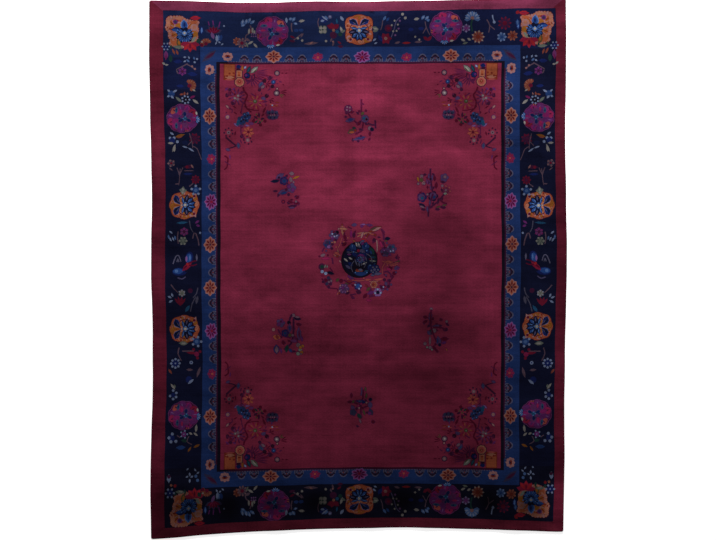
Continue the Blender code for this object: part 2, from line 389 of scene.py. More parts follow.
def leafy_lotus():
    """The corner flower of the top left: an orange leaf that points at the corner, with a blue lotus on it."""
    edge = [
        -16.5 + 12j, -14 + 14.8j, -7 + 15j, -2 + 15.2j, 3 + 12j, 9 + 11j, 15.5 + 11j, 13.5 + 6j, 15 + 2j, 13 - 2j,
        14.5 - 6j, 12 - 10j, 5 - 12j, 1 - 16j, -3 - 17.5j, -7 - 16j, -13.4 - 14j, -11.5 - 9j, -14 - 6j, -13.8 - 1j,
        -17.5 + 3j, -16 + 8j,
    ]
    rim = [z + (after - z) * share for z, after in zip(edge, edge[1:] + edge[:1]) for share in (0.2, 0.7)]
    drawn = [("black cherry", [1.06 * z for z in edge]), ("tan pink", [0.96 * z for z in edge])]
    drawn += edged(dots("tan pink", 1.7, *[0.94 * z for z in rim[::2]]) + dots("peach", 1.5, *[0.95 * z for z in rim[1::2]]), "rust", 0.2)
    drawn.append(("orange", [0.82 * z for z in edge]))
    ragged = []
    for k, z in enumerate(edge):
        ragged.append((("ochre", "peach", "orange")[k % 3], blade(0.3 * z, 0.8 * z, 3.6, 0.62)))
        ragged.append((("rust", "tan pink")[k % 2], blade(0.5 * z, 0.86 * z, 0.9)))
    drawn += edged(ragged, "rust", 0.2)
    drawn += leaves("peach", 4, -15 + 1j, -14 + 13j) + leaves("rust", 1.6, -16 + 2.4j, -14.6 + 5j)
    drawn += leaves("peach", 3.4, -9 + 13j, 2 + 13.4j) + dots("tan pink", 4.6, -4.6 + 5.4j) + dots("ochre", 3.3, -4.4 + 5.2j)
    drawn += dots("violet", 2.6, -7.6 + 9.4j) + dots("dusk", 1.5, -7.6 + 9.4j)
    drawn += [("deep blue", blade(-12 + 1.4j, -1 + 0.4j, 5.2, bend=0.1)), ("bright blue", blade(-11.4 + 1.4j, -3 + 0.6j, 3.2))]
    drawn += [("sky", blade(1.4, 0.6 + 12.4j, 7.4)), ("bright blue", blade(1.4 + 1j, 1 + 11.4j, 5.8))]
    drawn += leaves("deep blue", 2.4, 1.4 + 4j, 1.2 + 9.6j) + leaves("orange", 3.4, 6 + 9.4j, 15 + 9.8j)
    drawn += dots("tan pink", 3.6, 10.6 + 4.4j) + dots("peach", 2, 11 + 4.6j) + dots("ochre", 3.2, 11.4 - 2.4j)
    drawn += leaves("sage", 3, 8 - 11j, 12.6 - 4.6j) + [("navy", round_patch(1.6 - 4j, 8.6, 9, 0.2))]
    drawn += edged(placed(fan("bright blue", 9, 280, 1.8, 8.4, 2.2, 0.62, 270), 1.6 - 3.6j), "navy", 0.35)
    drawn += placed(fan("sky", 8, 250, 3.6, 7.6, 0.9, 0.6, 270), 1.6 - 3.6j) + dots("sky", 0.8, -6.4 - 1j, 9.4 - 1j, -5.4 + 1.4j, 8 + 1.6j)
    drawn += [("sky", round_patch(1.4 - 1.8j, 2.6, 4, 0.3)), ("cream", round_patch(1.4 - 1.6j, 1.2))]
    drawn += leaves("orange", 7, -12 - 7.6j, -4.6 - 14.6j) + leaves("peach", 2.4, -11 - 7.6j, -8 - 10j)
    drawn += leaves("olive", 4.4, -5.6 - 8j, -2.6 - 16.6j) + leaves("ochre", 2.6, -4 - 9j, -3.6 - 14j)
    drawn += placed(fan("crimson", 5, 150, 0, 10, 4.8, 0.62, 270), 7 - 11j)
    drawn += placed(fan("red", 3, 80, 1, 9.4, 3.2, 0.6, 270), 7 - 11j) + leaves("maroon", 1.6, 7 - 12j, 7 - 18j)
    drawn += leaves("pine", 2.6, -2 - 15j, -3 - 20j, -11 - 14j, -13 - 18j) + leaves("maroon", 5.4, 6 + 13.4j, 18 + 14j)
    drawn += leaves("red", 4.2, 7 + 13.6j, 17 + 14j) + leaves("crimson", 2, 8 + 13.6j, 16 + 14j)
    return drawn + leaves("deep blue", 4.6, 17.8 - 3j, 18 + 6j) + leaves("sky", 2, 18 - 1.6j, 18.2 + 4.6j)


def butterfly():
    """The butterfly of the left side: two pale blue wings on a crimson body, with long feelers."""
    drawn = [("deep blue", round_patch(5.4 + 7.4j, 6.2, squash=0.66, turn=82)), ("bright blue", round_patch(5 + 7j, 4.8, squash=0.6, turn=82))]
    drawn += leaves("sky", 1.6, 6 + 4j, 6.2 + 11j) + leaves("lilac", 2.2, 2.4 + 3j, 2.8 + 9.6j)
    drawn += [("deep blue", round_patch(-5.4 - 6.6j, 6.6, squash=0.62, turn=4)), ("bright blue", round_patch(-6 - 6.2j, 5.2, squash=0.56))]
    drawn += dots("sky", 1.8, -7.6 - 6j) + dots("bright blue", 1.4, -3.4 - 5j) + leaves("deep blue", 3, -5 - 10j, 3 - 7j)
    drawn += leaves("crimson", 5, -2 - 6j, 8 + 3j) + leaves("maroon", 1.8, -1 - 4j, 4 + 0.4j) + dots("red", 1.6, 3.6 + 1j)
    drawn += twigs("maroon", 1.3, [4 + 2j, 8 + 3.4j, 13 + 4.6j], [5 + 0j, 9 - 0.4j, 13 + 1j])
    drawn += twigs("stone", 1.2, [-11 + 1j, -8 + 8.6j, -5 + 9.4j, -3 + 3.6j], [-7 + 3j, -6 + 6.4j, -5 + 3j])
    return drawn + twigs("heather", 1.3, [-6.4 - 12.6j, -2 - 14j, 1.6 - 11.6j]) + leaves("stone", 2, 13 + 4j, 12.8 + 11.4j)


# The way each great flower faces and where it stands, from the middle of the rug.
GREAT_FLOWERS = [
    {"flower": magenta_peony(1.03), "turn": 0, "at": [-86 + 235.5j, 87.7 + 238.3j]},
    {"flower": magenta_peony(1.03), "turn": 180, "at": [-84.3 - 239.3j, 87.3 - 235.3j]},
    {"flower": magenta_peony(0.92), "turn": 90, "at": [-174.8 + 147j, -174.8 - 149.5j]},
    {"flower": magenta_peony(0.92), "turn": -90, "at": [180.2 + 148j, 178.6 - 148j]},
    {"flower": orange_lotus("orange", 3.6, 6), "turn": 0, "at": [0.9 + 236.5j]},
    {"flower": orange_lotus("orange", 3.6, 6), "turn": 180, "at": [1.2 - 235.7j]},
    {"flower": orange_lotus("ochre", 2.3, 8), "turn": 90, "at": [-173.8 + 60.5j, -174.3 - 63.5j]},
    {"flower": orange_lotus("ochre", 2.3, 8), "turn": -90, "at": [180.2 + 60.5j, 178.8 - 60.6j]},
]
great_flowers = []
for group in GREAT_FLOWERS:
    for at in group["at"]:
        great_flowers += placed(group["flower"], at, group["turn"])
great_flowers += placed(leafy_lotus(), -173.5 + 234.5j) + placed(leafy_lotus(), 177 + 237j, flip=True)
great_flowers += placed(leafy_lotus(), -170.3 - 239.5j, 180, flip=True) + placed(leafy_lotus(), 175.3 - 235.7j, 180)
great_flowers += placed(butterfly(), -174.2 + 0.5j) + placed(butterfly(), 179.2 + 1.4j, flip=True)


# The small flowers between the great ones down both sides of the navy border: sprigs, buds and snowflakes in pale
# blue, cream, violet and crimson wool on thin brown twigs. The left side's are drawn here, counted out from the
# middle of the border and up from the middle of the rug, and the right side's are the same, left for right.
SIDE_MIDDLES = {"left": -174.25, "right": 179.25}


def blossom(at, radius, dye, ring, count=6, turn=0.0):
    """A round flower with a ring of small dots about its heart."""
    reach = [at + cmath.rect(radius, math.radians(turn + 360 * k / count)) for k in range(count)]
    return dots(dye, 0.8 * radius, at) + dots(ring, 0.3 * radius, *reach) + dots(ring, 0.22 * radius, at)


upper_side = [
    *blossom(-16 + 219j, 3.3, "deep blue", "ice"), *leaves("sage", 3.4, -9 + 219j, 1 + 218j),
    *leaves("russet", 2.2, -10 + 217j, -7 + 211j, -6 + 216j, -4 + 210.5j), *leaves("mauve", 4.4, -16 + 206j, -16 + 215j),
    *leaves("magenta", 2, -16.4 + 205j, -15.4 + 212j), *leaves("pine", 4, -11.5 + 203j, -11.5 + 211j),
    *leaves("cream", 2.2, -20 + 203j, -16.4 + 200.6j, -17 + 200.4j, -13.6 + 200.8j),
    *leaves("deep blue", 4, -9 + 204j, 0 + 204j), *twigs("bark", 1.2, [5 + 202j, -1 + 198.6j, -6 + 196j]),
    *leaves("ice", 2, 0.8 + 208.4j, 4 + 208.6j, 5.6 + 209.6j, 7.4 + 206.8j, 1 + 203.4j, 3.8 + 205.4j),
    *leaves("sky", 2.2, 4 + 206.4j, 7 + 203.6j, 11 + 209.4j, 12 + 206j), *dots("ice", 1.2, 14.4 + 207j, 12 + 203.6j),
    *twigs("bark", 1.2, [4 + 201.6j, 9 + 199j, 13 + 196j]), *dots("tan pink", 1.2, 9.4 + 199.4j, 12.2 + 196.8j),
    *daisy("violet", "mauve", "plum", 0 + 194j, 4.4, 6), *leaves("bark", 1.4, -6 + 196j, -4 + 191j),
    *leaves("deep blue", 4.4, 5 + 192j, 15 + 191j), *leaves("deep blue", 3.4, -6 + 179.6j, 2 + 179j),
    *placed(fan("russet", 7, 190, 1, 6.4, 2.8, 0.66, 20), 7.6 + 180j), *dots("maroon", 2, 7 + 179.6j),
    *placed(fan("peach", 6, 160, 3.4, 6.4, 1.4, 0.6, 20), 7.6 + 180j), *leaves("cream", 1.8, 10 + 176.4j, 13 + 174j),
    *dots("bright blue", 3.4, -11 + 171.6j), *leaves("ice", 2.2, -15 + 176j, -12 + 173.4j, -9.6 + 173j, -5 + 175.4j),
    *leaves("ice", 2.4, -15.6 + 168.4j, -12.4 + 170j, -11.8 + 169.8j, -8.8 + 166.8j),
    *leaves("russet", 2, -3 + 170.4j, 1 + 171.4j, 1.6 + 169.4j, 2.4 + 173.6j), *leaves("tan pink", 1.6, 4.4 + 170j, 5.4 + 173j),
    *blossom(3 + 165.6j, 3.6, "ink", "ice", 7), *leaves("magenta", 2.6, 7 + 167j, 12.6 + 169.6j),
    *leaves("cream", 2.8, 9.6 + 166j, 15.6 + 161.6j), *leaves("sage", 2.8, -7 + 168.6j, -1 + 163j),
    *leaves("ice", 2.2, -13.4 + 133.4j, -9.4 + 130.6j), *dots("ice", 1.5, -13.4 + 127.4j, -9.4 + 127.6j, -6.4 + 123.8j),
    *dots("deep blue", 3, -11.6 + 125j), *leaves("cream", 2.4, -16 + 122.6j, -10 + 122.4j, -8.4 + 121.4j, -11.6 + 113.4j),
    *leaves("cream", 2.4, -9.4 + 120.8j, -9.6 + 113.6j), *leaves("ochre", 3, -8.4 + 128.4j, 1.4 + 131j),
    *leaves("russet", 1.8, -6.6 + 127.6j, -1 + 129j), *leaves("middle navy", 5, -2 + 124j, 5 + 121j), *daisy("plum", "maroon", "plum", 11 + 126.6j, 6, 8),
    *twigs("bark", 0.9, [6 + 132j, 8 + 124j, 8.8 + 117j], [9 + 119j, 13 + 116.6j, 15 + 112j, 17.6 + 105.4j], [8 + 124j, 4 + 120j]),
    *leaves("ice", 1.8, -2 + 119.4j, 4 + 117.4j, 4 + 117.6j, 10 + 113.6j), *leaves("maroon", 1.8, 9.6 + 131j, 14 + 129j),
    *daisy("bark", "tan pink", "maroon", -12.6 + 102.4j, 4, 5, 40), *leaves("bark", 1.5, -15 + 98j, -11 + 95j),
    *leaves("plum", 4, -0.4 + 98.4j, 9.6 + 98.8j), *dots("crimson", 1.6, 3.2 + 98.4j), *leaves("tan pink", 1.8, 7 + 101j, 9.6 + 97j),
    *twigs("bark", 0.9, [0.4 + 94.8j, 9.4 + 94.6j], [-7 + 98j, -4.4 + 90j, -5.6 + 80.4j], [-1 + 98j, -4.6 + 90j], [-3.6 + 97j, -4.4 + 92j]),
    *leaves("deep blue", 2.6, -1 + 91.6j, 9 + 91.4j), *daisy("maroon", "crimson", "plum", 11.6 + 85.6j, 4.8, 8, 20),
    *twigs("bark", 1.2, [-9 + 81.6j, -5.6 + 82j], [5 + 79j, 9 + 82j]), *leaves("sage", 5, -2 + 70.6j, -1 + 79.4j),
    *leaves("cream", 3.4, -1.8 + 71.6j, -1.4 + 78j), *leaves("sage", 2.6, -1.6 + 74j, -5 + 76.6j, -1.4 + 74j, 2.6 + 75.6j),
    *blossom(11.6 + 75j, 4.4, "bright blue", "ice", 5, 90), *dots("sky", 1.8, 11.6 + 75j),
    *leaves("teal", 2.6, -8 + 42.6j, 4 + 43.4j), *leaves("violet", 2.4, 11 + 42j, 15.4 + 45j, 12 + 40.6j, 16 + 39j),
    *daisy("mauve", "magenta", "plum", 0 + 34j, 4.6, 6), *twigs("stone", 1.1, [5.4 + 45j, 6.4 + 38j, 9 + 33.4j]),
    *leaves("ice", 1.8, -15 + 34.6j, -11.6 + 32j, -14.6 + 28j, -12.4 + 24j, -12 + 29j, -10 + 24.6j),
    *leaves("sky", 2, -15.8 + 31j, -15 + 26.4j, -9.6 + 30j, -8.4 + 25.6j), *dots("ice", 1.2, 16 + 32.6j),
    *twigs("bark", 1.3, [-6 + 34j, -6.6 + 28j, -5.6 + 22j]), *daisy("sage", "cream", "sage", -1 + 24.8j, 4.6, 6, 90),
    *twigs("bark", 1.3, [8.6 + 27j, 10 + 32.6j, 12.6 + 31j], [12 + 31j, 14 + 26j, 15 + 20j]),
]
lower_side = [
    *twigs("bark", 1.1, [-13 - 19j, -10 - 23j, -6 - 27j]), *daisy("cream", "ice", "sage", -2 - 27.6j, 3.8, 6),
    *dots("plum", 2.6, 6.4 - 25j), *twigs("stone", 1.2, [14 - 22j, 12.6 - 28j, 9 - 32j], [12 - 31j, 8 - 38j, 6 - 46j]),
    *leaves("stone", 3, 14 - 30j, 12 - 38.6j), *leaves("ice", 2.2, -16.4 - 30.6j, -12.4 - 32.4j, -12.6 - 27.6j, -11 - 31.6j),
    *leaves("ice", 2.2, -15.6 - 37j, -11.4 - 34.6j), *placed(fan("crimson", 4, 70, 0, 9.6, 2.4, 0.6, 90), -4 - 40.4j),
    *leaves("teal", 3.4, 0.6 - 46.6j, 5.4 - 39.6j), *leaves("sage", 4.4, -6.4 - 77.4j, 3 - 78j), *leaves("cream", 2, -4 - 77.6j, 1.6 - 78j),
    *blossom(12 - 76j, 4.6, "bright blue", "ice", 5), *dots("sky", 2, 12 - 76j),
    *leaves("crimson", 3, 1 - 87j, 12 - 87.6j), *dots("rose", 2.6, 11.6 - 88.6j), *dots("crimson", 1.6, 8.6 - 84j, 15 - 86j, 12.4 - 92.4j),
    *twigs("bark", 1.2, [-6 - 82j, -7.4 - 88j, -4 - 95j], [-3 - 85.6j, 9 - 85.4j]),
    *blossom(-10 - 97.6j, 4.2, "deep blue", "ice", 8), *dots("ice", 1.9, 6 - 97j), *dots("deep blue", 0.8, 6 - 97j),
    *leaves("bark", 2.6, 1 - 104j, 8 - 104.4j), *leaves("russet", 2.4, -17 - 103j, -13.4 - 108j), *leaves("bark", 3, 15.4 - 101j, 12 - 112j),
    *dots("deep blue", 3.4, 4 - 114j), *leaves("ice", 2.8, 3 - 118.4j, 9 - 113.6j), *leaves("cream", 2.4, -14.6 - 117.6j, -10 - 123.6j),
    *leaves("sage", 1.8, -11 - 118.4j, -9.6 - 122j), *dots("ice", 1.4, -12 - 124.6j, -8.8 - 127j, -15 - 130j, -12 - 133j, -9 - 131j),
    *dots("deep blue", 2.4, -12 - 129j), *leaves("cream", 2.8, 12.8 - 158.6j, 12 - 166.4j),
    *blossom(0 - 168j, 3.4, "violet", "ice", 5), *leaves("cream", 2.2, 5 - 166.6j, 8.6 - 168.4j, 9.6 - 166.6j, 14 - 170j),
    *dots("deep blue", 3.4, -12.6 - 171.6j), *dots("ice", 1.6, -11.6 - 167.6j, -15 - 171.4j, -13 - 175j, -8 - 174.6j),
    *leaves("pine", 3.6, -3 - 173.6j, 4 - 174.6j), *twigs("bark", 1.1, [5 - 170j, 3 - 175j, 8 - 178j], [-4 - 171j, -7 - 169j]),
    *leaves("bright blue", 4.2, -8 - 180.6j, 2 - 180.4j), *leaves("ochre", 2.6, 9.6 - 181j, 16 - 178.2j),
    *leaves("ochre", 2.2, 7.4 - 180j, 4 - 185j), *leaves("ice", 1.8, 3 - 202j, 5.4 - 200j, 10.6 - 200.6j, 13 - 203.6j, 13 - 206j, 16 - 204j),
    *leaves("ice", 2, 2 - 208.6j, 5.2 - 207.4j, 6 - 204j, 6.6 - 208j, 6.8 - 209j, 10 - 207.4j, 6 - 214j, 6.4 - 210j),
    *dots("sky", 1.6, 12.4 - 208j, 14 - 212j), *leaves("ice", 4.4, -14.6 - 213j, -14.4 - 205j), *dots("plum", 1.8, -14.4 - 207.4j),
    *dots("peach", 1.3, -12.2 - 215.4j), *dots("red", 1.6, -8.4 - 216j), *blossom(-13.4 - 222.6j, 4, "deep blue", "ice", 6),
    *leaves("sage", 3.6, -8 - 221.4j, 1.6 - 222.4j), *leaves("cream", 1.6, -5 - 221.4j, 0 - 222j),
]
WORN = 0.78  # how much of its light a small flower's wool has kept
STILL_PALE = 75


def worn(motif):
    """The same small flowers in wools that have dulled; those as dark as the navy stay as they are."""
    for dye in sorted({dye for dye, _ in motif if max(DYES[dye]) > STILL_PALE}):
        DYES[f"worn {dye}"] = tuple(round(WORN * part) for part in DYES[dye])
    return [(f"worn {dye}" if f"worn {dye}" in DYES else dye, outline) for dye, outline in motif]


upper_side, lower_side = worn(upper_side), worn(lower_side)
side_flowers = placed(upper_side + lower_side, SIDE_MIDDLES["left"])
side_flowers += placed(upper_side + lower_side, SIDE_MIDDLES["right"], flip=True)


# The small flowers between the great ones across both ends of the navy border. They aren't mirrored from left to
# right, so the whole of the top end is drawn, and the bottom end is the same upside down.
END_MIDDLES = {"top": 237.0, "bottom": -237.2}

top_end = [
    *twigs("violet", 1.3, [-148 + 4j, -149 + 8j], [-144 + 4j, -144.4 + 9j], [-139 + 2j, -137.4 + 8j]),
    *placed(fan("dusk", 5, 130, 0, 9.4, 3.6), -144 - 4.4j), *placed(fan("maroon", 5, 110, 0, 8, 2.6), -144 - 4.4j), *placed(fan("rose", 4, 90, 1, 6, 1), -144 - 4.4j),
    *dots("ice", 1, -133.6 + 3.8j), *leaves("lilac", 3.6, -146 - 2.6j, -143.4 - 10j), *leaves("sky", 4, -139.6 - 12j, -138.8 - 5.4j),
    *leaves("ice", 2.8, -140.8 - 5.4j, -140.4 - 13j), *leaves("band blue", 3.4, -137.4 - 12j, -136 - 5j),
    *leaves("ice", 1.8, -142 - 15.6j, -140.4 - 12.4j, -139.4 - 12.2j, -136.6 - 13.8j, -136.4 - 16j, -134 - 14j),
    *placed(fan("russet", 6, 180, 1, 6, 2.6, 0.66, 120), -151 - 14.6j), *placed(fan("peach", 5, 150, 3, 6, 1.4, 0.6, 120), -151 - 14.6j),
    *dots("maroon", 1.8, -151 - 14.6j, -155 - 16j), *dots("cream", 1, -155 - 12.6j), *leaves("pine", 4, -160 - 14j, -157 - 9j),
    *leaves("sky", 3.2, -116.4 + 4.4j, -114.6 + 11.6j, -113 + 6j, -110.6 + 12j, -110 + 7j, -107.4 + 13j),
    *leaves("sky", 3, -108 + 6.6j, -103 + 10.6j, -117 + 4j, -112.4 + 7j), *leaves("ice", 1.8, -115.6 + 7j, -114.6 + 11j),
    *leaves("ice", 1.7, -112 + 7.6j, -110.8 + 11.6j, -108.4 + 9j, -107.4 + 12.6j, -106 + 8j, -103.4 + 10j, -116 + 4.6j, -113.6 + 6j),
    *twigs("bark", 1.3, [-108 + 5j, -106.4 + 1j, -107 - 4j], [-108 - 2j, -112 - 5j, -113 - 9j]), *dots("maroon", 2.2, -107.4 - 0.6j),
    *leaves("cream", 2.2, -109.4 - 4j, -108.8 + 2.4j, -106 - 3j, -105.4 + 3.4j, -104.4 - 4j, -103.4 + 0.4j),
    *dots("lilac", 0.9, -106.6 - 3.4j, -104.6 - 3.4j, -102.6 - 3.4j, -106.6 - 5.8j, -104.6 - 5.8j, -102.6 - 5.8j),
    *daisy("russet", "peach", "rust", -120.8 - 11.4j, 4.4, 7), *daisy("bark", "tan pink", "maroon", -116 - 13j, 5.6, 9),
    *leaves("bark", 3, -113 - 8j, -108 - 11j), *leaves("cream", 2.4, -110.4 - 14.2j, -104.8 - 10.8j, -104.8 - 13j, -100.6 - 17.8j),
    *leaves("sage", 2, -112 - 12j, -110 - 17.4j), *leaves("ice", 2.6, -71.8 + 13j, -71.2 + 7j),
    *leaves("sky", 3.4, -69.4 + 10.4j, -65.4 + 12j, -66 + 8.4j, -62.6 + 13j), *leaves("sky", 2.6, -64.6 + 7j, -60.4 + 5.6j),
    *leaves("ice", 1.8, -68.6 + 10.8j, -66.4 + 12j, -65.4 + 9.4j, -63.2 + 12j, -63.4 + 6.6j, -61 + 6j),
    *twigs("bark", 1.4, [-66.4 + 7j, -66.8 + 2j, -66 - 2j], [-67 - 12j, -62 - 8.4j, -56 - 4j]), *leaves("cream", 2.8, -59.4 + 8.4j, -53.2 + 9.2j),
    *[("band blue", round_patch(z, 2.4, squash=0.7)) for z in (-62 - 0.5j, -57 - 0.5j)], *leaves("maroon", 2.4, -68.6 - 6j, -63.4 - 8.4j), *leaves("plum", 3, -69.4 - 10.6j, -63 - 12j),
    *dots("cream", 1.3, -60.6 - 8.6j, -56.2 - 11j), *leaves("bark", 1.6, -58 - 8j, -54.6 - 3.6j), *leaves("bark", 3, -54.6 - 14.6j, -40 - 13.8j),
    *leaves("tan pink", 2, -49 - 15j, -45.4 - 12.6j), *twigs("bark", 1, [-39.4 + 2j, -40.2 + 7j, -39 + 11j]),
    *leaves("deep blue", 8, -38.6 + 11j, -29.6 + 9j), *leaves("ice", 2, -36.4 + 13.4j, -30.2 + 8.6j), *leaves("ice", 2.4, -37.6 + 8j, -33.4 + 8.6j),
    *leaves("sky", 2, -33.4 + 13.4j, -29.6 + 10j), *dots("heather", 2, -28 + 12.4j), *dots("ice", 0.9, -28 + 12.6j),
    ("sage", round_patch(-35.4 - 0.6j, 4.8, 4, 0.3, turn=45)), *dots("cream", 1.7, -37.2 + 1j, -33.8 + 1j, -37.4 - 2.4j, -33.6 - 2.4j),
    *dots("pine", 0.8, -35.4 - 0.6j, -37.8 - 1j, -35.4 + 2.2j), *leaves("maroon", 5.4, -31.4 + 3.6j, -23 + 1.4j, -19 + 5j, -25 + 0.6j), *leaves("crimson", 2.6, -30 + 3.4j, -24 + 1.6j, -20 + 4.4j, -25 + 1j),
    *leaves("crimson", 4.6, -27 + 6.6j, -24.4 + 0j), *dots("peach", 1.6, -24.6 - 1j), *dots("plum", 3.6, -25 - 6j),
    *leaves("cream", 2.6, -18 + 3.4j, -15.4 - 4j), *leaves("sage", 2.6, -17.6 - 3j, -12.6 - 0.4j), *dots("teal", 1.8, -21 - 2.4j),
    *dots("pine", 2.2, -18 - 5j), *leaves("ice", 3, -17.8 + 13.6j, -14.4 + 8.6j), *leaves("teal", 2, -21.4 + 11j, -21 + 5.6j),
    *leaves("bark", 2, -28 - 13j, -26.4 - 9j, -26 - 17.4j, -24.4 - 12j), *dots("cream", 1.3, -32.4 - 12.2j), *dots("tan pink", 1.1, -25.4 - 12.6j),
    *leaves("plum", 3.4, -21 - 17j, -15 - 17.6j), *leaves("crimson", 2.2, -21 - 12j, -17 - 15j),
    *leaves("sage", 3.6, 14 + 2.4j, 20.4 - 0.6j, 14.6 - 2.6j, 20.6 + 0.6j), *leaves("cream", 1.6, 15.4 + 0.6j, 20 + 0.2j),
    *leaves("sky", 2.6, 24.6 + 8.6j, 28 + 13.4j), *leaves("bright blue", 2.6, 28 + 8j, 31 + 12j), *twigs("bark", 1, [24.6 + 9j, 24 + 3.6j, 22.4 - 1j]),
    *dots("plum", 3.8, 30.2 + 1j), *dots("maroon", 1.8, 30.2 + 1j), *placed(fan("crimson", 6, 300, 0, 6.2, 4), 27.4 - 9.4j),
    *dots("tan pink", 1.8, 27.4 - 9.4j), *leaves("deep blue", 4, 20 - 6j, 24 - 12.6j), *leaves("ice", 2, 14.4 - 12j, 18 - 9.4j, 15.4 - 15j, 19 - 13.4j),
    *twigs("heather", 1, [33 - 8j, 36 + 0j, 38 + 8j, 42 + 12j]), *dots("cream", 1.1, 33.6 + 4j, 36.4 + 8.6j, 39.6 + 4.6j, 35 - 2j, 38.4 - 1.6j),
    *dots("lilac", 1.2, 41.6 + 8.4j, 40.4 + 0.6j, 37 - 6j), *dots("cream", 1.5, 44.2 + 15j, 47 + 11.2j), *leaves("red", 2.4, 43.4 - 14j, 52.6 - 13.8j),
    *leaves("cream", 3, 55.4 + 9.4j, 61 + 10.2j), *leaves("sky", 3.2, 63 + 9j, 66.4 + 13.4j, 66.6 + 8.6j, 70.4 + 12.6j, 68 + 7.6j, 71.6 + 9j),
    *leaves("ice", 1.6, 64 + 10j, 66 + 12.6j, 67.6 + 9.4j, 69.8 + 12j), *[("deep blue", round_patch(z, 2.6, squash=0.7)) for z in (62.8 + 0j, 52.8 - 0.5j)],
    *twigs("bark", 1, [66.8 + 7j, 68 + 1j, 71.6 - 6.6j], [68 + 1j, 64.6 - 5j]), *leaves("crimson", 3.4, 65 - 8j, 70 - 12j, 73.6 - 7.4j, 69 - 12.6j),
    *leaves("bark", 2.4, 36 - 14.4j, 42 - 12.6j, 56 - 13.4j, 64 - 13j), *dots("cream", 1.2, 57 - 8j, 61 - 11j),
    *placed(fan("sky", 7, 190, 1, 8, 4, 0.64), 113.8 + 8.6j), *placed(fan("ice", 6, 160, 3, 7.6, 2), 113.8 + 8.6j), *dots("tan pink", 2, 113.8 + 9.4j),
    *twigs("pine", 1.8, [113.8 + 8j, 112.6 + 3j, 114 - 4j]), *daisy("lilac", "ice", "violet", 107.8 - 0.5j, 4.4, 6),
    *daisy("russet", "cream", "rust", 119.6 - 9.3j, 6.8, 9), *leaves("cream", 2.4, 102.4 - 11j, 107 - 13.4j, 109 - 10.4j, 112.4 - 12.8j),
    *leaves("sage", 2.2, 104 - 16j, 109.6 - 14.6j), *twigs("ice", 1.3, [133.8 + 12.5j, 134.2 + 9j, 135.4 + 6j]), *dots("ice", 1.5, 135.4 + 5.4j),
    *twigs("bark", 1.2, [128 + 8j, 131 + 2j, 130 - 5j], [131 + 2j, 136 - 2j]), *daisy("plum", "crimson", "maroon", 145.8 + 4.2j, 7, 9),
    *daisy("sky", "ice", "bright blue", 143 - 9.3j, 5, 7), *daisy("russet", "peach", "rust", 153.6 - 8.3j, 5.4, 8),
    *leaves("red", 3.4, 157 + 13j, 160.6 + 16j), *leaves("bright blue", 4, 158.4 + 1j, 158.4 + 8j), *leaves("sky", 2, 158.4 + 2j, 158.4 + 7j),
]
top_end = worn(top_end)
end_flowers = placed(top_end, 1j * END_MIDDLES["top"])
end_flowers += [(dye, [z.conjugate() + 1j * END_MIDDLES["bottom"] for z in outline]) for dye, outline in top_end]


# The flowers in the corners of the field: an orange table with a vase stands in the very corner, and branches of
# blue, violet and orange blossom lean out from it. They are drawn once, counted in and down from the field's top
# left corner, and turned over for the other three.
DYES.update({
    "mulberry": (60, 16, 44),
    "mallow": (53, 38, 68),
    "ash rose": (80, 60, 70),
})


def sprig(dye, at, near, far, count, wide, spread=0.0, middle=90.0):
    """Small petals round a place, all the way round unless a spread is given."""
    return placed(fan(dye, count, spread or 360 - 360 / count, near, far, wide, 0.62, middle), at)



def loose_leaves(dye, width, *middles):
    """Small dark leaves among the blossoms, each leaning its own way."""
    drawn = []
    for k, middle in enumerate(middles):
        lean = cmath.rect(0.9 * width, 2.4 * k)
        drawn += leaves(dye, width, middle - lean, middle + lean)
    return drawn


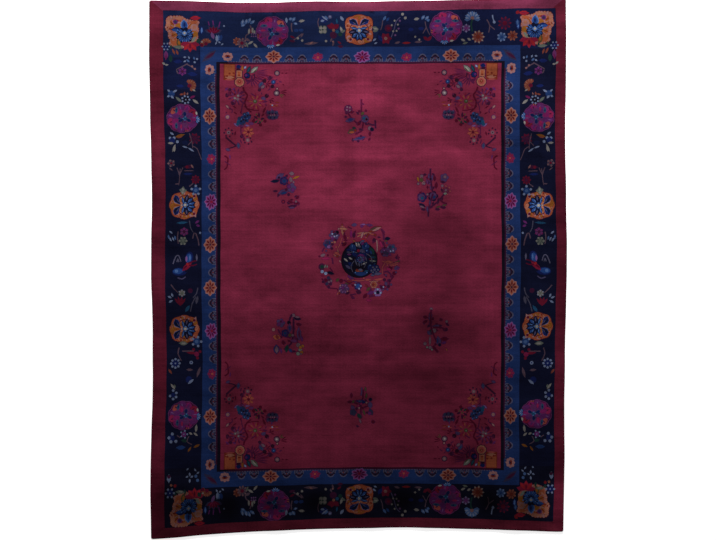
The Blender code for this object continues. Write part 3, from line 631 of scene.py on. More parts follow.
corner_group = [
    *loose_leaves("plum", 2, 32 - 15.7j, 29 - 17.2j, 9 - 27j, 6.6 - 31j, 20.4 - 34j, 17.3 - 38j, 25 - 43.3j, 33.4 - 56.3j, 38 - 60j, 31 - 68.5j, 23.4 - 77j),
    *loose_leaves("maroon", 1.9, 35 - 13.4j, 33 - 11j, 10.4 - 30j, 15 - 31j, 23.4 - 40j, 9.6 - 45.6j, 20.4 - 49.4j, 41 - 55.5j, 37 - 52.5j, 22 - 71.6j, 31 - 78.5j),
    # the table and the vase, with the leaves that stand in it
    ("rust", rectangle(3.6 - 16.6j, 15 + 0j)), ("orange", rectangle(4.4 - 12j, 14.4 - 0.8j)), *leaves("peach", 3.4, 4.6 - 13.6j, 14.4 - 14j),
    *leaves("orange", 2.4, 5.4 - 3j, 13.6 - 3.4j, 5 - 8.6j, 9 - 5.6j), *dots("rust", 1.2, 9.4 - 10j, 13.4 - 9.6j, 7 - 12.6j), *leaves("coral", 2, 5 - 16j, 14 - 16.4j),
    *leaves("deep blue", 5, 15.6 - 3.2j, 21 - 2.4j), *leaves("black cherry", 2, 15 - 5j, 20.6 - 5.4j), *leaves("ochre", 2.2, 22 - 0.6j, 22 - 9j),
    ("plum", rectangle(15.4 - 14j, 22.4 - 6j)), ("peach", rectangle(16.2 - 14.6j, 21.6 - 6.6j)), ("orange", rectangle(17.4 - 12.6j, 20.2 - 7.6j)),
    ("plum", round_patch(19.4 - 18.6j, 5.5, 9, 0.12)), ("peach", round_patch(19.4 - 18.6j, 4.7, 9, 0.1)), *dots("coral", 3.3, 19.4 - 18.4j),
    *dots("rust", 1.7, 19.3 - 18.2j), *dots("peach", 0.8, 19.3 - 18j), *leaves("rust", 1.6, 17 - 11.4j, 20.6 - 11.6j),
    *edged([*leaves("ice", 2.2, 23.6 - 4.6j, 26 - 1.8j), *leaves("pine", 3.4, 30 - 1.6j, 26.4 - 9.4j)], "mulberry", 0.6), *leaves("teal", 1.4, 29.4 - 3j, 27 - 8j),
    *edged([*leaves("sage", 4.4, 37.6 - 2j, 30 - 9j)], "mulberry", 0.7), *leaves("cream", 1.6, 36 - 3.4j, 31.6 - 7.8j), *leaves("olive", 1.2, 36.6 - 4.4j, 32.6 - 8.6j),
    *edged(dots("deep blue", 2.7, 26.8 - 11.6j), "ink", 0.7), *dots("violet", 1.3, 25.6 - 11.4j), *leaves("mulberry", 2.6, 24.6 - 14j, 29 - 20j),
    *twigs("mulberry", 2, [31.4 - 11j, 31.2 - 15j, 29 - 18.4j, 26.4 - 20.4j]), *twigs("plum", 1.4, [34 - 9.4j, 34 - 14j, 32 - 18j]),
    # the long crimson and plum hairs of grass that lean in from the vase
    *sprig("mulberry", 31 - 8.6j, 3, 17, 6, 1.3, 44, -10), *sprig("maroon", 31 - 9j, 4, 22, 3, 0.9, 26, -22), *sprig("mulberry", 30 - 12j, 3, 12, 5, 1.5, 60, -50),
    # the bell flowers
    *edged([*leaves("mallow", 4.6, 42.6 - 17.6j, 38.8 - 24j), *leaves("ash rose", 2.8, 44.6 - 21.6j, 40.6 - 24.6j)], "mulberry", 0.8), *leaves("teal", 1.6, 41.6 - 18.6j, 39.6 - 22.6j),
    *dots("black cherry", 2.2, 43.9 - 16.9j), *dots("plum", 1.9, 39.3 - 26.2j), *sprig("maroon", 46.5 - 20j, 0, 4.6, 4, 1.5, 150, -20),
    *dots("plum", 2.4, 49.3 - 14.2j), *edged(dots("band blue", 2.2, 52.9 - 18.3j), "mulberry", 0.8), *dots("sky", 0.8, 53 - 18.2j), *dots("black cherry", 2.1, 52 - 22.8j),
    *sprig("mulberry", 52 - 19j, 3.6, 6.6, 7, 1.5), *leaves("mulberry", 1.5, 45.4 - 11.6j, 49 - 15j, 58 - 17j, 61.6 - 19j, 47 - 27j, 51 - 24.6j),
    *edged(dots("ash rose", 2.2, 56.5 - 9.2j), "plum", 1), *dots("tan pink", 1.1, 56.5 - 9.2j), *leaves("maroon", 1.5, 60.4 - 9.4j, 63.4 - 9.2j, 64 - 9.6j, 67.6 - 9j, 61.8 - 20.4j, 64 - 22j),
    *edged(dots("ash rose", 2.4, 56.5 - 29.6j), "plum", 1.1), *dots("cream", 1.2, 56.4 - 29.6j), *edged(dots("tan pink", 1, 56.8 - 25.2j), "plum", 0.8),
    *sprig("maroon", 59.6 - 28j, 0.6, 8, 3, 1.2, 44, -12), *sprig("olive", 59 - 30.4j, 0.6, 5.4, 2, 1.2, 30, -34),
    *dots("black cherry", 2.3, 46.6 - 32.3j), *edged(leaves("mallow", 4, 41 - 34j, 45.6 - 36j), "mulberry", 0.7), *leaves("mulberry", 2.4, 41.4 - 38.4j, 47.6 - 38j),
    *sprig("mulberry", 43.6 - 35.6j, 4.4, 7.6, 6, 1.5, 300, 200), *sprig("maroon", 50 - 36j, 0, 4.6, 3, 1.4, 100, -30),
    # an olive heart in russet and rose petals
    *sprig("crimson", 35.4 - 38.6j, 2.6, 9.6, 9, 2.1), *sprig("russet", 35.4 - 38.6j, 2.6, 7.4, 7, 1.5, 0, 70), *dots("olive", 2.2, 35 - 38j), *dots("sage", 0.9, 34.8 - 37.6j),
    *leaves("coral", 1.4, 48.6 - 40.4j, 54 - 41.4j, 52 - 43.6j, 58.6 - 40.8j), *leaves("rust", 1.1, 50 - 42j, 60 - 43j, 54 - 38.6j, 60 - 39.4j),
    *dots("ice", 0.9, 52 - 41.8j), *leaves("violet", 1.7, 51.4 - 44j, 51.6 - 47.4j), *leaves("maroon", 2.4, 45.6 - 43j, 42 - 50.4j), *leaves("mulberry", 1.5, 47.6 - 45.4j, 44.6 - 51j),
    # a navy flower, and a dark star of leaves
    ("mulberry", round_patch(52 - 51.6j, 6.6, squash=0.8)), *dots("dusk", 2, 48.2 - 49.2j, 52 - 48.6j, 55.8 - 49.4j, 48.8 - 53.8j, 52.2 - 54.2j, 55.6 - 53.8j), *dots("navy", 1, 49 - 50j, 52 - 49.8j, 55 - 50.4j, 50 - 54.4j, 54 - 54.4j),
    *dots("ash rose", 0.8, 50 - 51.8j, 54 - 51.6j, 52 - 51.8j), *dots("mallow", 0.8, 47.4 - 47.6j, 51 - 47.2j, 56.6 - 47.8j, 57.4 - 52j),
    *leaves("plum", 2.4, 38.6 - 54.6j, 38.4 - 48.6j, 39.8 - 56j, 44 - 54.6j, 37.4 - 55.6j, 33 - 52.6j), *leaves("pine", 2, 38.8 - 57j, 40.6 - 61.6j, 37.4 - 57j, 33.6 - 60j), *leaves("maroon", 2, 40.6 - 53j, 44 - 50j),
    *dots("maroon", 1.8, 33 - 57.8j, 40 - 61.4j, 44.4 - 57.6j), *dots("olive", 1, 38.4 - 55.6j, 36 - 51j, 41.4 - 57.4j),
    # the blue peony, heaped with small petals, on violet leaves
    *edged([*leaves("mauve", 3.2, 16 - 61j, 24 - 63.4j, 28 - 60j, 33.4 - 60.6j), *leaves("lilac", 2, 13.4 - 60j, 17.6 - 63.6j, 24.4 - 62j, 29.6 - 63j)], "mulberry", 0.4),
    ("dusk", round_patch(26 - 53j, 4.6, 5, 0.2)), ("dusk", round_patch(21.4 - 57.4j, 5, 5, 0.2)), *dots("band blue", 1.5, 27.6 - 50.4j, 24.4 - 52j, 28.8 - 54.4j, 25.6 - 55.4j, 21.8 - 54.4j, 27 - 58j, 23 - 58.8j, 19 - 56.8j, 20.4 - 60.4j),
    *dots("navy", 1, 24.6 - 54j, 27.2 - 52.6j, 22.8 - 56.8j, 25.4 - 57.4j, 30 - 52j, 20.6 - 58.4j), *dots("mallow", 0.8, 26.2 - 50.6j, 29.4 - 56j, 23.6 - 55.4j, 19 - 59j, 24.8 - 60.4j, 22.4 - 52.4j),
    *dots("teal", 1.9, 18 - 58.6j, 17.4 - 61j), *dots("sky", 0.6, 27.8 - 49.8j, 24 - 51.2j, 21 - 56j, 26.8 - 55.4j),
    # the stems
    *twigs("maroon", 1.9, [23 - 23.6j, 24.4 - 28j, 27.4 - 31.6j, 26 - 35.6j, 24.6 - 39.6j, 26.6 - 45.4j, 31 - 49j]), *twigs("mulberry", 1.2, [25 - 38j, 22.4 - 41.6j, 21.4 - 46j, 21 - 51j]),
    *twigs("mulberry", 1.1, [24.4 - 28j, 21 - 31j]), *twigs("maroon", 1.1, [26.6 - 45.4j, 34 - 47j, 38.6 - 47j]), *twigs("mulberry", 1.2, [31 - 30j, 36 - 33j]),
    # a grey flower in plum petals, and what stands at the edge
    *sprig("mulberry", 16.7 - 33.8j, 3.4, 9.4, 12, 1.7), *sprig("mauve", 16.7 - 33.8j, 2.6, 6.4, 8, 1.5, 0, 80), *dots("ash rose", 1.6, 14.8 - 35j, 17.6 - 36j, 18.2 - 32.6j), *dots("cream", 0.7, 15 - 35j, 18 - 32.6j),
    *dots("plum", 1.8, 10 - 26.4j, 7.2 - 32.7j, 12.6 - 40.6j), *twigs("mulberry", 1.1, [5.6 - 24.6j, 9.4 - 28.4j, 7 - 33j]), *leaves("violet", 1.7, 5 - 27.6j, 8.6 - 24j, 12 - 27j, 15.4 - 24.6j),
    *edged(leaves("tan pink", 1.9, 5.6 - 42j, 9 - 45.4j), "mulberry", 0.6), *twigs("mulberry", 1.3, [8.4 - 44j, 12 - 47j, 11.4 - 50j]), *leaves("maroon", 1.5, 12 - 42.6j, 16.6 - 45.6j, 13 - 49j, 17 - 51.4j),
    *edged(dots("tan pink", 1.9, 7.2 - 54j), "violet", 0.7), *leaves("mulberry", 1.2, 5 - 50.6j, 7 - 48.6j),
    *dots("plum", 1.1, 5.4 - 66.6j, 8.4 - 65.2j, 11.6 - 67.2j, 12.4 - 70.6j, 9.4 - 73.4j, 5.8 - 72.6j, 4 - 69.6j), *dots("ash rose", 2, 8.4 - 69.4j), *dots("plum", 0.8, 8.4 - 69.4j), *leaves("maroon", 1.9, 15.4 - 68j, 14.4 - 72.6j),
    # the orange flower and the ringed one below it
    *edged(sprig("coral", 28 - 68.9j, 0.8, 6, 7, 2.4), "rust", 0.3), *sprig("ochre", 28 - 68.9j, 2.6, 5, 5, 1, 0, 40), *dots("maroon", 1.5, 28 - 68.9j), *leaves("maroon", 1.3, 20 - 66j, 23 - 63.6j),
    *dots("plum", 1.1, 23.6 - 75.4j, 26.6 - 73.2j, 30 - 75j, 31 - 78.6j, 28 - 80.8j, 24.4 - 79.6j), *dots("ash rose", 2, 27.3 - 77j), *dots("tan pink", 0.9, 27.3 - 77j), *dots("plum", 2, 21.4 - 73.4j),
    *twigs("mulberry", 1.2, [20.6 - 62j, 20.6 - 68j, 21.4 - 73j, 24 - 75.6j]), *twigs("plum", 2, [5.4 - 74j, 11 - 79j, 15.4 - 82.6j]), *twigs("plum", 1.4, [16 - 82.6j, 11.6 - 84.4j, 7 - 85.2j]),
    *edged([*leaves("mallow", 3.6, 17.4 - 79.4j, 18.2 - 85.6j), *leaves("mallow", 2.6, 5 - 85.6j, 9.4 - 87.4j)], "mulberry", 0.6), *leaves("teal", 1.4, 17.6 - 80.6j, 18 - 84.4j), *leaves("mulberry", 1.5, 19.4 - 76j, 21.4 - 81j),
    *twigs("maroon", 1.7, [3.6 - 92.6j, 7.2 - 95j, 6.8 - 100j, 6.4 - 104j, 3.6 - 106.4j]), *twigs("mulberry", 1, [4 - 98j, 6.8 - 100j, 10 - 102j]), *leaves("violet", 1.4, 9 - 91j, 9.4 - 96.4j),
]
corner_groups = []
for across, down in ((1, 1), (-1, 1), (1, -1), (-1, -1)):
    corner = complex(field_low.real if across > 0 else field_high.real, field_high.imag if down > 0 else field_low.imag)
    for dye, outline in corner_group:
        corner_groups.append((dye, [corner + complex(across * z.real, down * z.imag) for z in outline]))


# The six sprays that stand loose in the field: three or four blossoms in blue, violet and cream with dark leaves on
# a thin stem. No two are alike, so each is drawn where it stands on the chart.
sprays = [
    *loose_leaves("plum", 2.2, -11.3 + 152j, -0.2 + 152j, -9 + 144j, 2 + 143.5j, -4 + 135.7j, 8 + 141.4j, -5.4 + 125j, 5 + 126.5j),
    *loose_leaves("maroon", 2, -5.4 + 153.4j, -4.7 + 145j, -1 + 141.4j, -7 + 133.6j, -1.7 + 131.5j, 2 + 135j, 0.5 + 127j, 11 + 126j),
    *loose_leaves("plum", 2.2, -76.6 + 89.6j, -71 + 82.6j, -68.8 + 78.3j, -65.3 + 76j, -61.8 + 69j, -69.6 + 62.5j, -59.6 + 62j, -79.5 + 70.5j),
    *loose_leaves("maroon", 2, -79.5 + 86.8j, -67.4 + 85.4j, -71 + 75.5j, -75.2 + 72.7j, -66.7 + 65.6j, -63.2 + 62.5j, -64.6 + 59j),
    *loose_leaves("plum", 2.2, 66.5 + 91j, 75 + 91j, 78 + 81j, 75 + 77.6j, 68 + 69j, 78 + 69.8j, 84 + 67j, 75 + 62j, 65.8 + 58.5j, 83.5 + 58.5j),
    *loose_leaves("maroon", 2, 69.4 + 88j, 72 + 84j, 69.4 + 78.3j, 62.3 + 72.7j, 75 + 72.7j, 80.7 + 65.6j, 72 + 61.4j, 62.3 + 60.7j, 79.3 + 57.8j),
    *loose_leaves("plum", 2.2, -62 - 52.4j, -69 - 57j, -74.6 - 58.6j, -71.8 - 66j, -69 - 69.3j, -74 - 77j, -61 - 73.8j, -71.8 - 83j, -57 - 80j, -66 - 86j),
    *loose_leaves("maroon", 2, -58.3 - 58.6j, -79 - 55.5j, -64 - 63j, -76.8 - 71.6j, -64.7 - 70.8j, -69 - 75.4j, -81.7 - 80.7j, -69 - 80j, -60 - 86j),
    *loose_leaves("plum", 2.2, 67.4 - 52j, 74.5 - 53.3j, 66 - 57j, 70.7 - 60.4j, 82.3 - 60.4j, 72 - 67.5j, 86 - 64j, 82.3 - 76j, 75.8 - 83j),
    *loose_leaves("maroon", 2, 71.3 - 52.6j, 83 - 54j, 73.2 - 57j, 78.4 - 59j, 74.5 - 65.3j, 78.4 - 64.6j, 87.4 - 73j, 77 - 78.8j),
    *loose_leaves("plum", 2.2, -1.2 - 135.6j, 8 - 135j, -1.2 - 143.3j, 3 - 151.8j, 9.4 - 147j),
    *loose_leaves("maroon", 2, -8.3 - 136.3j, 8.7 - 137.7j, 3 - 147j, -6.2 - 144.7j, 15 - 156j),
    # at the top, in the middle
    *dots("plum", 4, -9.6 + 156j), *dots("mulberry", 3, -9.4 + 156j), *dots("ash rose", 1, -11 + 155j, -8 + 157.6j, -10.6 + 158j, -8 + 154.4j), *dots("maroon", 1.3, -6.4 + 153j),
    *twigs("maroon", 1.1, [3.4 + 166j, 3.6 + 160j, 3.4 + 152j, 5 + 142j, 3 + 134j]), *twigs("maroon", 0.9, [3.4 + 162j, 6 + 161j], [-10 + 152j, -6 + 146j, 0 + 141j], [3 + 134j, -3 + 131j]), *dots("maroon", 1.2, 8 + 154.6j, 1.2 + 154j),
    *leaves("olive", 3, 3 + 150j, 6 + 153.6j), *dots("mallow", 3.8, 6.8 + 146.6j), *dots("teal", 2, 6.2 + 147j), *dots("ink", 1.2, 8.4 + 146j),
    *leaves("mallow", 4.4, -13 + 143.6j, -3 + 146.4j), *leaves("band blue", 3, -10.6 + 145j, -5 + 146j), *leaves("plum", 1.8, -14 + 148j, -10.6 + 148.2j),
    *dots("maroon", 1.6, 0.6 + 141.6j), *leaves("olive", 5, -11 + 132j, -2 + 135j), *leaves("orange", 2.4, -9.6 + 132.6j, -3.4 + 133j), *leaves("pine", 2.6, -6 + 138j, -2 + 135.4j),
    *dots("rust", 1.4, -3 + 134.6j), *leaves("plum", 1.6, 0.4 + 136.4j, 5 + 135j), *twigs("plum", 1.2, [9.6 + 142j, 14 + 140.4j, 17 + 140.6j], [17 + 145j, 17.2 + 137j]),
    *dots("ash rose", 2.2, 11.6 + 137j), *dots("navy", 1.9, 13.6 + 136j), *leaves("maroon", 2.4, 11.6 + 134j, 11.4 + 129.4j),
    *leaves("mallow", 3.6, -6 + 125j, 8 + 128.4j), *leaves("band blue", 2.2, -2 + 126.4j, 7 + 128.6j), *dots("plum", 1.2, 2.6 + 129j, 0 + 124j),
    # at the upper left
    *leaves("navy", 3.2, -87.4 + 84j, -78 + 85j), *leaves("mallow", 5, -82 + 87j, -74 + 92j), *leaves("plum", 2.4, -73.6 + 87j, -70 + 91j), *dots("navy", 1.2, -79 + 88j),
    ("deep blue", round_patch(-74 + 84.8j, 4.2, 5, 0.2)), *dots("band blue", 2.4, -73.6 + 84.6j), *leaves("ash rose", 4, -69 + 92.4j, -63.8 + 91.4j),
    *leaves("ash rose", 3.6, -67.6 + 88.6j, -66.6 + 83j), *leaves("ochre", 2.6, -65.6 + 86.6j, -58 + 89.4j), *leaves("ash rose", 2, -65 + 85j, -63.6 + 81.6j),
    ("mallow", round_patch(-66.6 + 77.6j, 5, 5, 0.25)), *dots("violet", 1.8, -69 + 79j, -65 + 75.6j), *leaves("mallow", 5.4, -80 + 72j, -69 + 75j),
    *leaves("band blue", 3, -77.6 + 72j, -70.6 + 73.6j), *leaves("plum", 1.8, -85 + 74.4j, -80 + 74.6j), *dots("plum", 1.3, -71.6 + 76j, -69.4 + 71j),
    *dots("maroon", 1.8, -74.8 + 64j), *dots("red", 0.7, -74.8 + 64j), *leaves("maroon", 2.4, -62.4 + 66.6j, -58.6 + 69.6j, -70.4 + 64.8j, -64.6 + 62.4j),
    *leaves("maroon", 2.2, -63.4 + 61.4j, -58.6 + 62.6j), *leaves("plum", 2.6, -70.4 + 59j, -60.6 + 59.8j), *dots("ash rose", 1.1, -62 + 64j), *leaves("mallow", 1.6, -69.6 + 57.8j, -63 + 58j),
    # at the upper right
    *dots("tan pink", 2, 63.4 + 89.4j, 65.4 + 82.4j), *dots("ash rose", 1.3, 63.6 + 89.6j, 65.8 + 82j, 60 + 81.8j), *leaves("ochre", 2.6, 59 + 89j, 60.6 + 83.6j), *dots("olive", 2, 63 + 85.6j),
    *leaves("mallow", 2.6, 71.8 + 93j, 70 + 87j, 69 + 86j, 72 + 81j, 74 + 91j, 73 + 84j, 72 + 80j, 74 + 75j), *twigs("plum", 1.1, [72.2 + 97j, 72 + 90j, 73 + 82j, 74.6 + 73j]), *dots("navy", 1.2, 72.2 + 86.6j, 70 + 83j), *leaves("mauve", 1.8, 68 + 87j, 69.6 + 81j),
    *leaves("maroon", 2.4, 76 + 90j, 76.4 + 84.4j), *leaves("maroon", 2.8, 78 + 83.6j, 77.8 + 76.6j), ("mallow", round_patch(86 + 87.6j, 4.2, 5, 0.25)),
    *dots("ash rose", 1.6, 86.6 + 88.4j), *leaves("plum", 2, 82 + 84j, 87 + 82.4j), *sprig("coral", 87.6 + 75j, 1.2, 5.6, 7, 2), *sprig("rust", 87.6 + 75j, 2, 4, 7, 0.7), *dots("ash rose", 1.3, 87.6 + 75j, 84 + 79.6j),
    *leaves("plum", 1.6, 83 + 77.4j, 84.4 + 73j), ("deep blue", round_patch(64 + 68.2j, 4.8, 5, 0.2)), *dots("mallow", 3.2, 63.6 + 68.4j), *dots("teal", 1.8, 64.4 + 67.4j),
    ("navy", round_patch(75 + 69.4j, 5, 5, 0.25)), *dots("mallow", 3.4, 75 + 69.6j), *dots("band blue", 1.8, 76 + 68.6j), *dots("ash rose", 1.2, 69.4 + 71.2j), *leaves("sage", 2.4, 85 + 71.4j, 89 + 72j),
    *leaves("navy", 2.8, 60.6 + 62j, 67.6 + 59j), *leaves("ash rose", 1.8, 61.6 + 59.6j, 67 + 57.6j), *leaves("plum", 2.2, 62.6 + 56.6j, 68 + 55.6j), *leaves("maroon", 2.2, 70 + 58j, 75 + 58.8j),
    *leaves("olive", 1.6, 78 + 58j, 83 + 59.4j, 84 + 60j, 89 + 60.4j), *leaves("plum", 2.4, 77 + 56.6j, 82 + 56j, 83 + 58j, 88 + 57.6j), *twigs("maroon", 1.2, [82 + 66j, 85 + 63j, 89 + 61.6j]),
    *twigs("plum", 1.1, [75 + 72j, 72 + 62j, 70.6 + 56j, 70 + 49j], [86 + 71j, 80 + 64j, 72 + 58j]), *leaves("mallow", 1.8, 72 + 66j, 72 + 60j, 69 + 60j, 69.6 + 53j), *leaves("plum", 1.8, 81 + 68j, 79.6 + 61j),
    # at the lower left
    *dots("ash rose", 1.8, -64.4 - 49.6j), *twigs("plum", 1.4, [-66 - 49j, -68 - 53j, -69 - 57j]), *dots("ink", 1.9, -69 - 57j), *leaves("navy", 3.4, -65 - 52j, -56.6 - 53.4j),
    *leaves("ash rose", 1.6, -63 - 51j, -58 - 51.6j), *leaves("maroon", 3, -62 - 58j, -57 - 59.6j), *twigs("plum", 1.4, [-64.4 - 53j, -64.6 - 61j, -65 - 69j, -67 - 78j, -74 - 84j]), *twigs("mulberry", 1, [-65 - 69j, -60 - 78j, -58 - 84j], [-67 - 72j, -76 - 70j, -80 - 64j]),
    ("mallow", round_patch(-77.4 - 57.4j, 4.4, 5, 0.3)), *dots("violet", 1.4, -76 - 56j, -79 - 58.6j), *dots("plum", 1, -77.2 - 56j), *leaves("mallow", 4.4, -68.4 - 58j, -68.6 - 67j),
    *leaves("band blue", 2, -68.4 - 60j, -68.4 - 65j), *leaves("mallow", 4.4, -59.4 - 61j, -59 - 75j), *leaves("mulberry", 1.2, -59 - 63j, -59 - 73j), *leaves("violet", 2, -56.6 - 70j, -56 - 76j), *dots("tan pink", 1.7, -84.6 - 64j),
    ("deep blue", round_patch(-73 - 67.6j, 3.8, 5, 0.2)), *dots("band blue", 1.9, -73 - 67.6j), *leaves("orange", 5.6, -85.4 - 70.6j, -77.4 - 72.6j), *leaves("rust", 2.2, -82 - 69.4j, -80 - 73.4j),
    *dots("olive", 1.8, -68.2 - 69.6j), *dots("ash rose", 1.3, -65.6 - 69.6j), *leaves("maroon", 2.8, -75.4 - 74.6j, -74 - 79.6j), *leaves("mauve", 3.4, -67.6 - 75j, -61 - 75.4j),
    ("band blue", blade(-81.6 - 79j, -81.4 - 88.4j, 6)), *leaves("ash rose", 3.4, -81.4 - 80.4j, -81.2 - 87.6j), *leaves("violet", 1.6, -77.4 - 82j, -76.4 - 88j),
    *leaves("pine", 4, -70.4 - 79j, -72 - 87j), *leaves("band blue", 3, -69 - 83j, -66 - 86.6j), *leaves("plum", 1.6, -66 - 85.4j, -62 - 86j),
    *dots("sage", 1.9, -59.8 - 79.4j, -57.8 - 84j, -60 - 88j), *dots("ochre", 1.7, -55.6 - 80.4j, -57.6 - 81.6j, -56.4 - 86.6j), *dots("ash rose", 0.9, -60 - 79.2j, -57 - 88.2j),
    # at the lower right
    *dots("ash rose", 1.5, 73 - 43.6j), *leaves("mallow", 3.4, 72.6 - 45.6j, 72 - 57j), *dots("pine", 1.1, 72.4 - 48j, 72.4 - 51j), *leaves("maroon", 2.6, 65 - 51j, 69.4 - 52.2j, 64.6 - 57.4j, 69.4 - 55j),
    *leaves("maroon", 2.4, 73.6 - 55j, 75.4 - 52j, 81 - 54.8j, 84.6 - 53.8j), *dots("ash rose", 1.3, 88.6 - 56j), *leaves("plum", 2, 87.6 - 57.4j, 91 - 60.4j), *dots("plum", 1.7, 88 - 64j),
    *leaves("mallow", 3.2, 74 - 61j, 84 - 60.6j), *dots("violet", 1.2, 72 - 58j), *leaves("plum", 1.4, 82 - 59j, 82 - 63.6j), *dots("pine", 2.6, 73 - 66.6j), *dots("ash rose", 2.3, 76 - 65.2j), *dots("ink", 1.2, 74.4 - 67.4j),
    *leaves("mallow", 3, 69.6 - 65j, 72 - 69.6j), *leaves("ash rose", 2.2, 71.8 - 70j, 71.4 - 80j), *leaves("mallow", 5.6, 79.6 - 70.6j, 80.4 - 80.6j), *leaves("band blue", 2.4, 78.6 - 72.6j, 79.4 - 78j), *twigs("maroon", 1, [73 - 44j, 72.4 - 58j, 75 - 68j, 78 - 76j], [75 - 62j, 82 - 62j, 88 - 64j]),
    *dots("navy", 1.5, 81.2 - 79.4j), *leaves("maroon", 4, 82 - 73.6j, 90.6 - 73.4j), *leaves("violet", 2.4, 83 - 78j, 88 - 76.6j), *twigs("maroon", 1.8, [74.6 - 80.4j, 77 - 84j, 79.4 - 86.6j]),
    *dots("ash rose", 1.7, 66.6 - 78j, 71.6 - 82j), *dots("sage", 1.1, 68.6 - 81.6j, 73.4 - 84j), *leaves("orange", 1.6, 87 - 83j, 89 - 85.6j),
    # at the bottom, in the middle
    *twigs("mallow", 1.2, [3.4 - 122j, 3.6 - 126j, 3 - 130j]), *leaves("olive", 1.8, 7 - 121j, 7.6 - 126j, 8.6 - 127j, 8 - 133j), *twigs("maroon", 1, [5 - 124j, 5 - 132j, 3 - 140j, 3 - 150j], [3 - 140j, -4 - 137j], [3 - 143j, 11 - 140j]), *leaves("maroon", 2.6, -6.8 - 127.6j, -6.4 - 132.6j),
    *leaves("maroon", 2.6, -10.4 - 136.6j, -5.6 - 136.4j), *leaves("olive", 2.4, -5.6 - 138j, -3.6 - 134.6j), *leaves("deep blue", 3.8, -2 - 135.4j, 9 - 136.8j), *leaves("teal", 1.4, 0 - 135.4j, 4 - 136j),
    *dots("navy", 1.7, 12.4 - 133.8j), *leaves("mallow", 4.6, 12 - 135.6j, 12.6 - 143j), *leaves("dusk", 4.4, 11.4 - 143j, 14.4 - 149.4j), *dots("violet", 1.6, 11.6 - 147.6j),
    *leaves("mallow", 4, -6.6 - 139.6j, -3.4 - 146j), ("dusk", round_patch(-4.8 - 147j, 3.4, 5, 0.2)), *dots("rose", 1.1, 0.4 - 140j, 3.4 - 138.4j), *dots("tan pink", 1, 8.6 - 137j, 1.2 - 142.6j),
    *leaves("maroon", 2, 1.6 - 141j, 6 - 143.4j), *leaves("pine", 4, -0.6 - 148j, 3 - 153j), *leaves("olive", 2, 5 - 144j, 7 - 150j), *leaves("ash rose", 1.8, 1 - 153j, 3 - 158j), *dots("maroon", 1.7, 15 - 156j),
    *leaves("plum", 2, -2.4 - 160.4j, 1 - 161.4j),
]


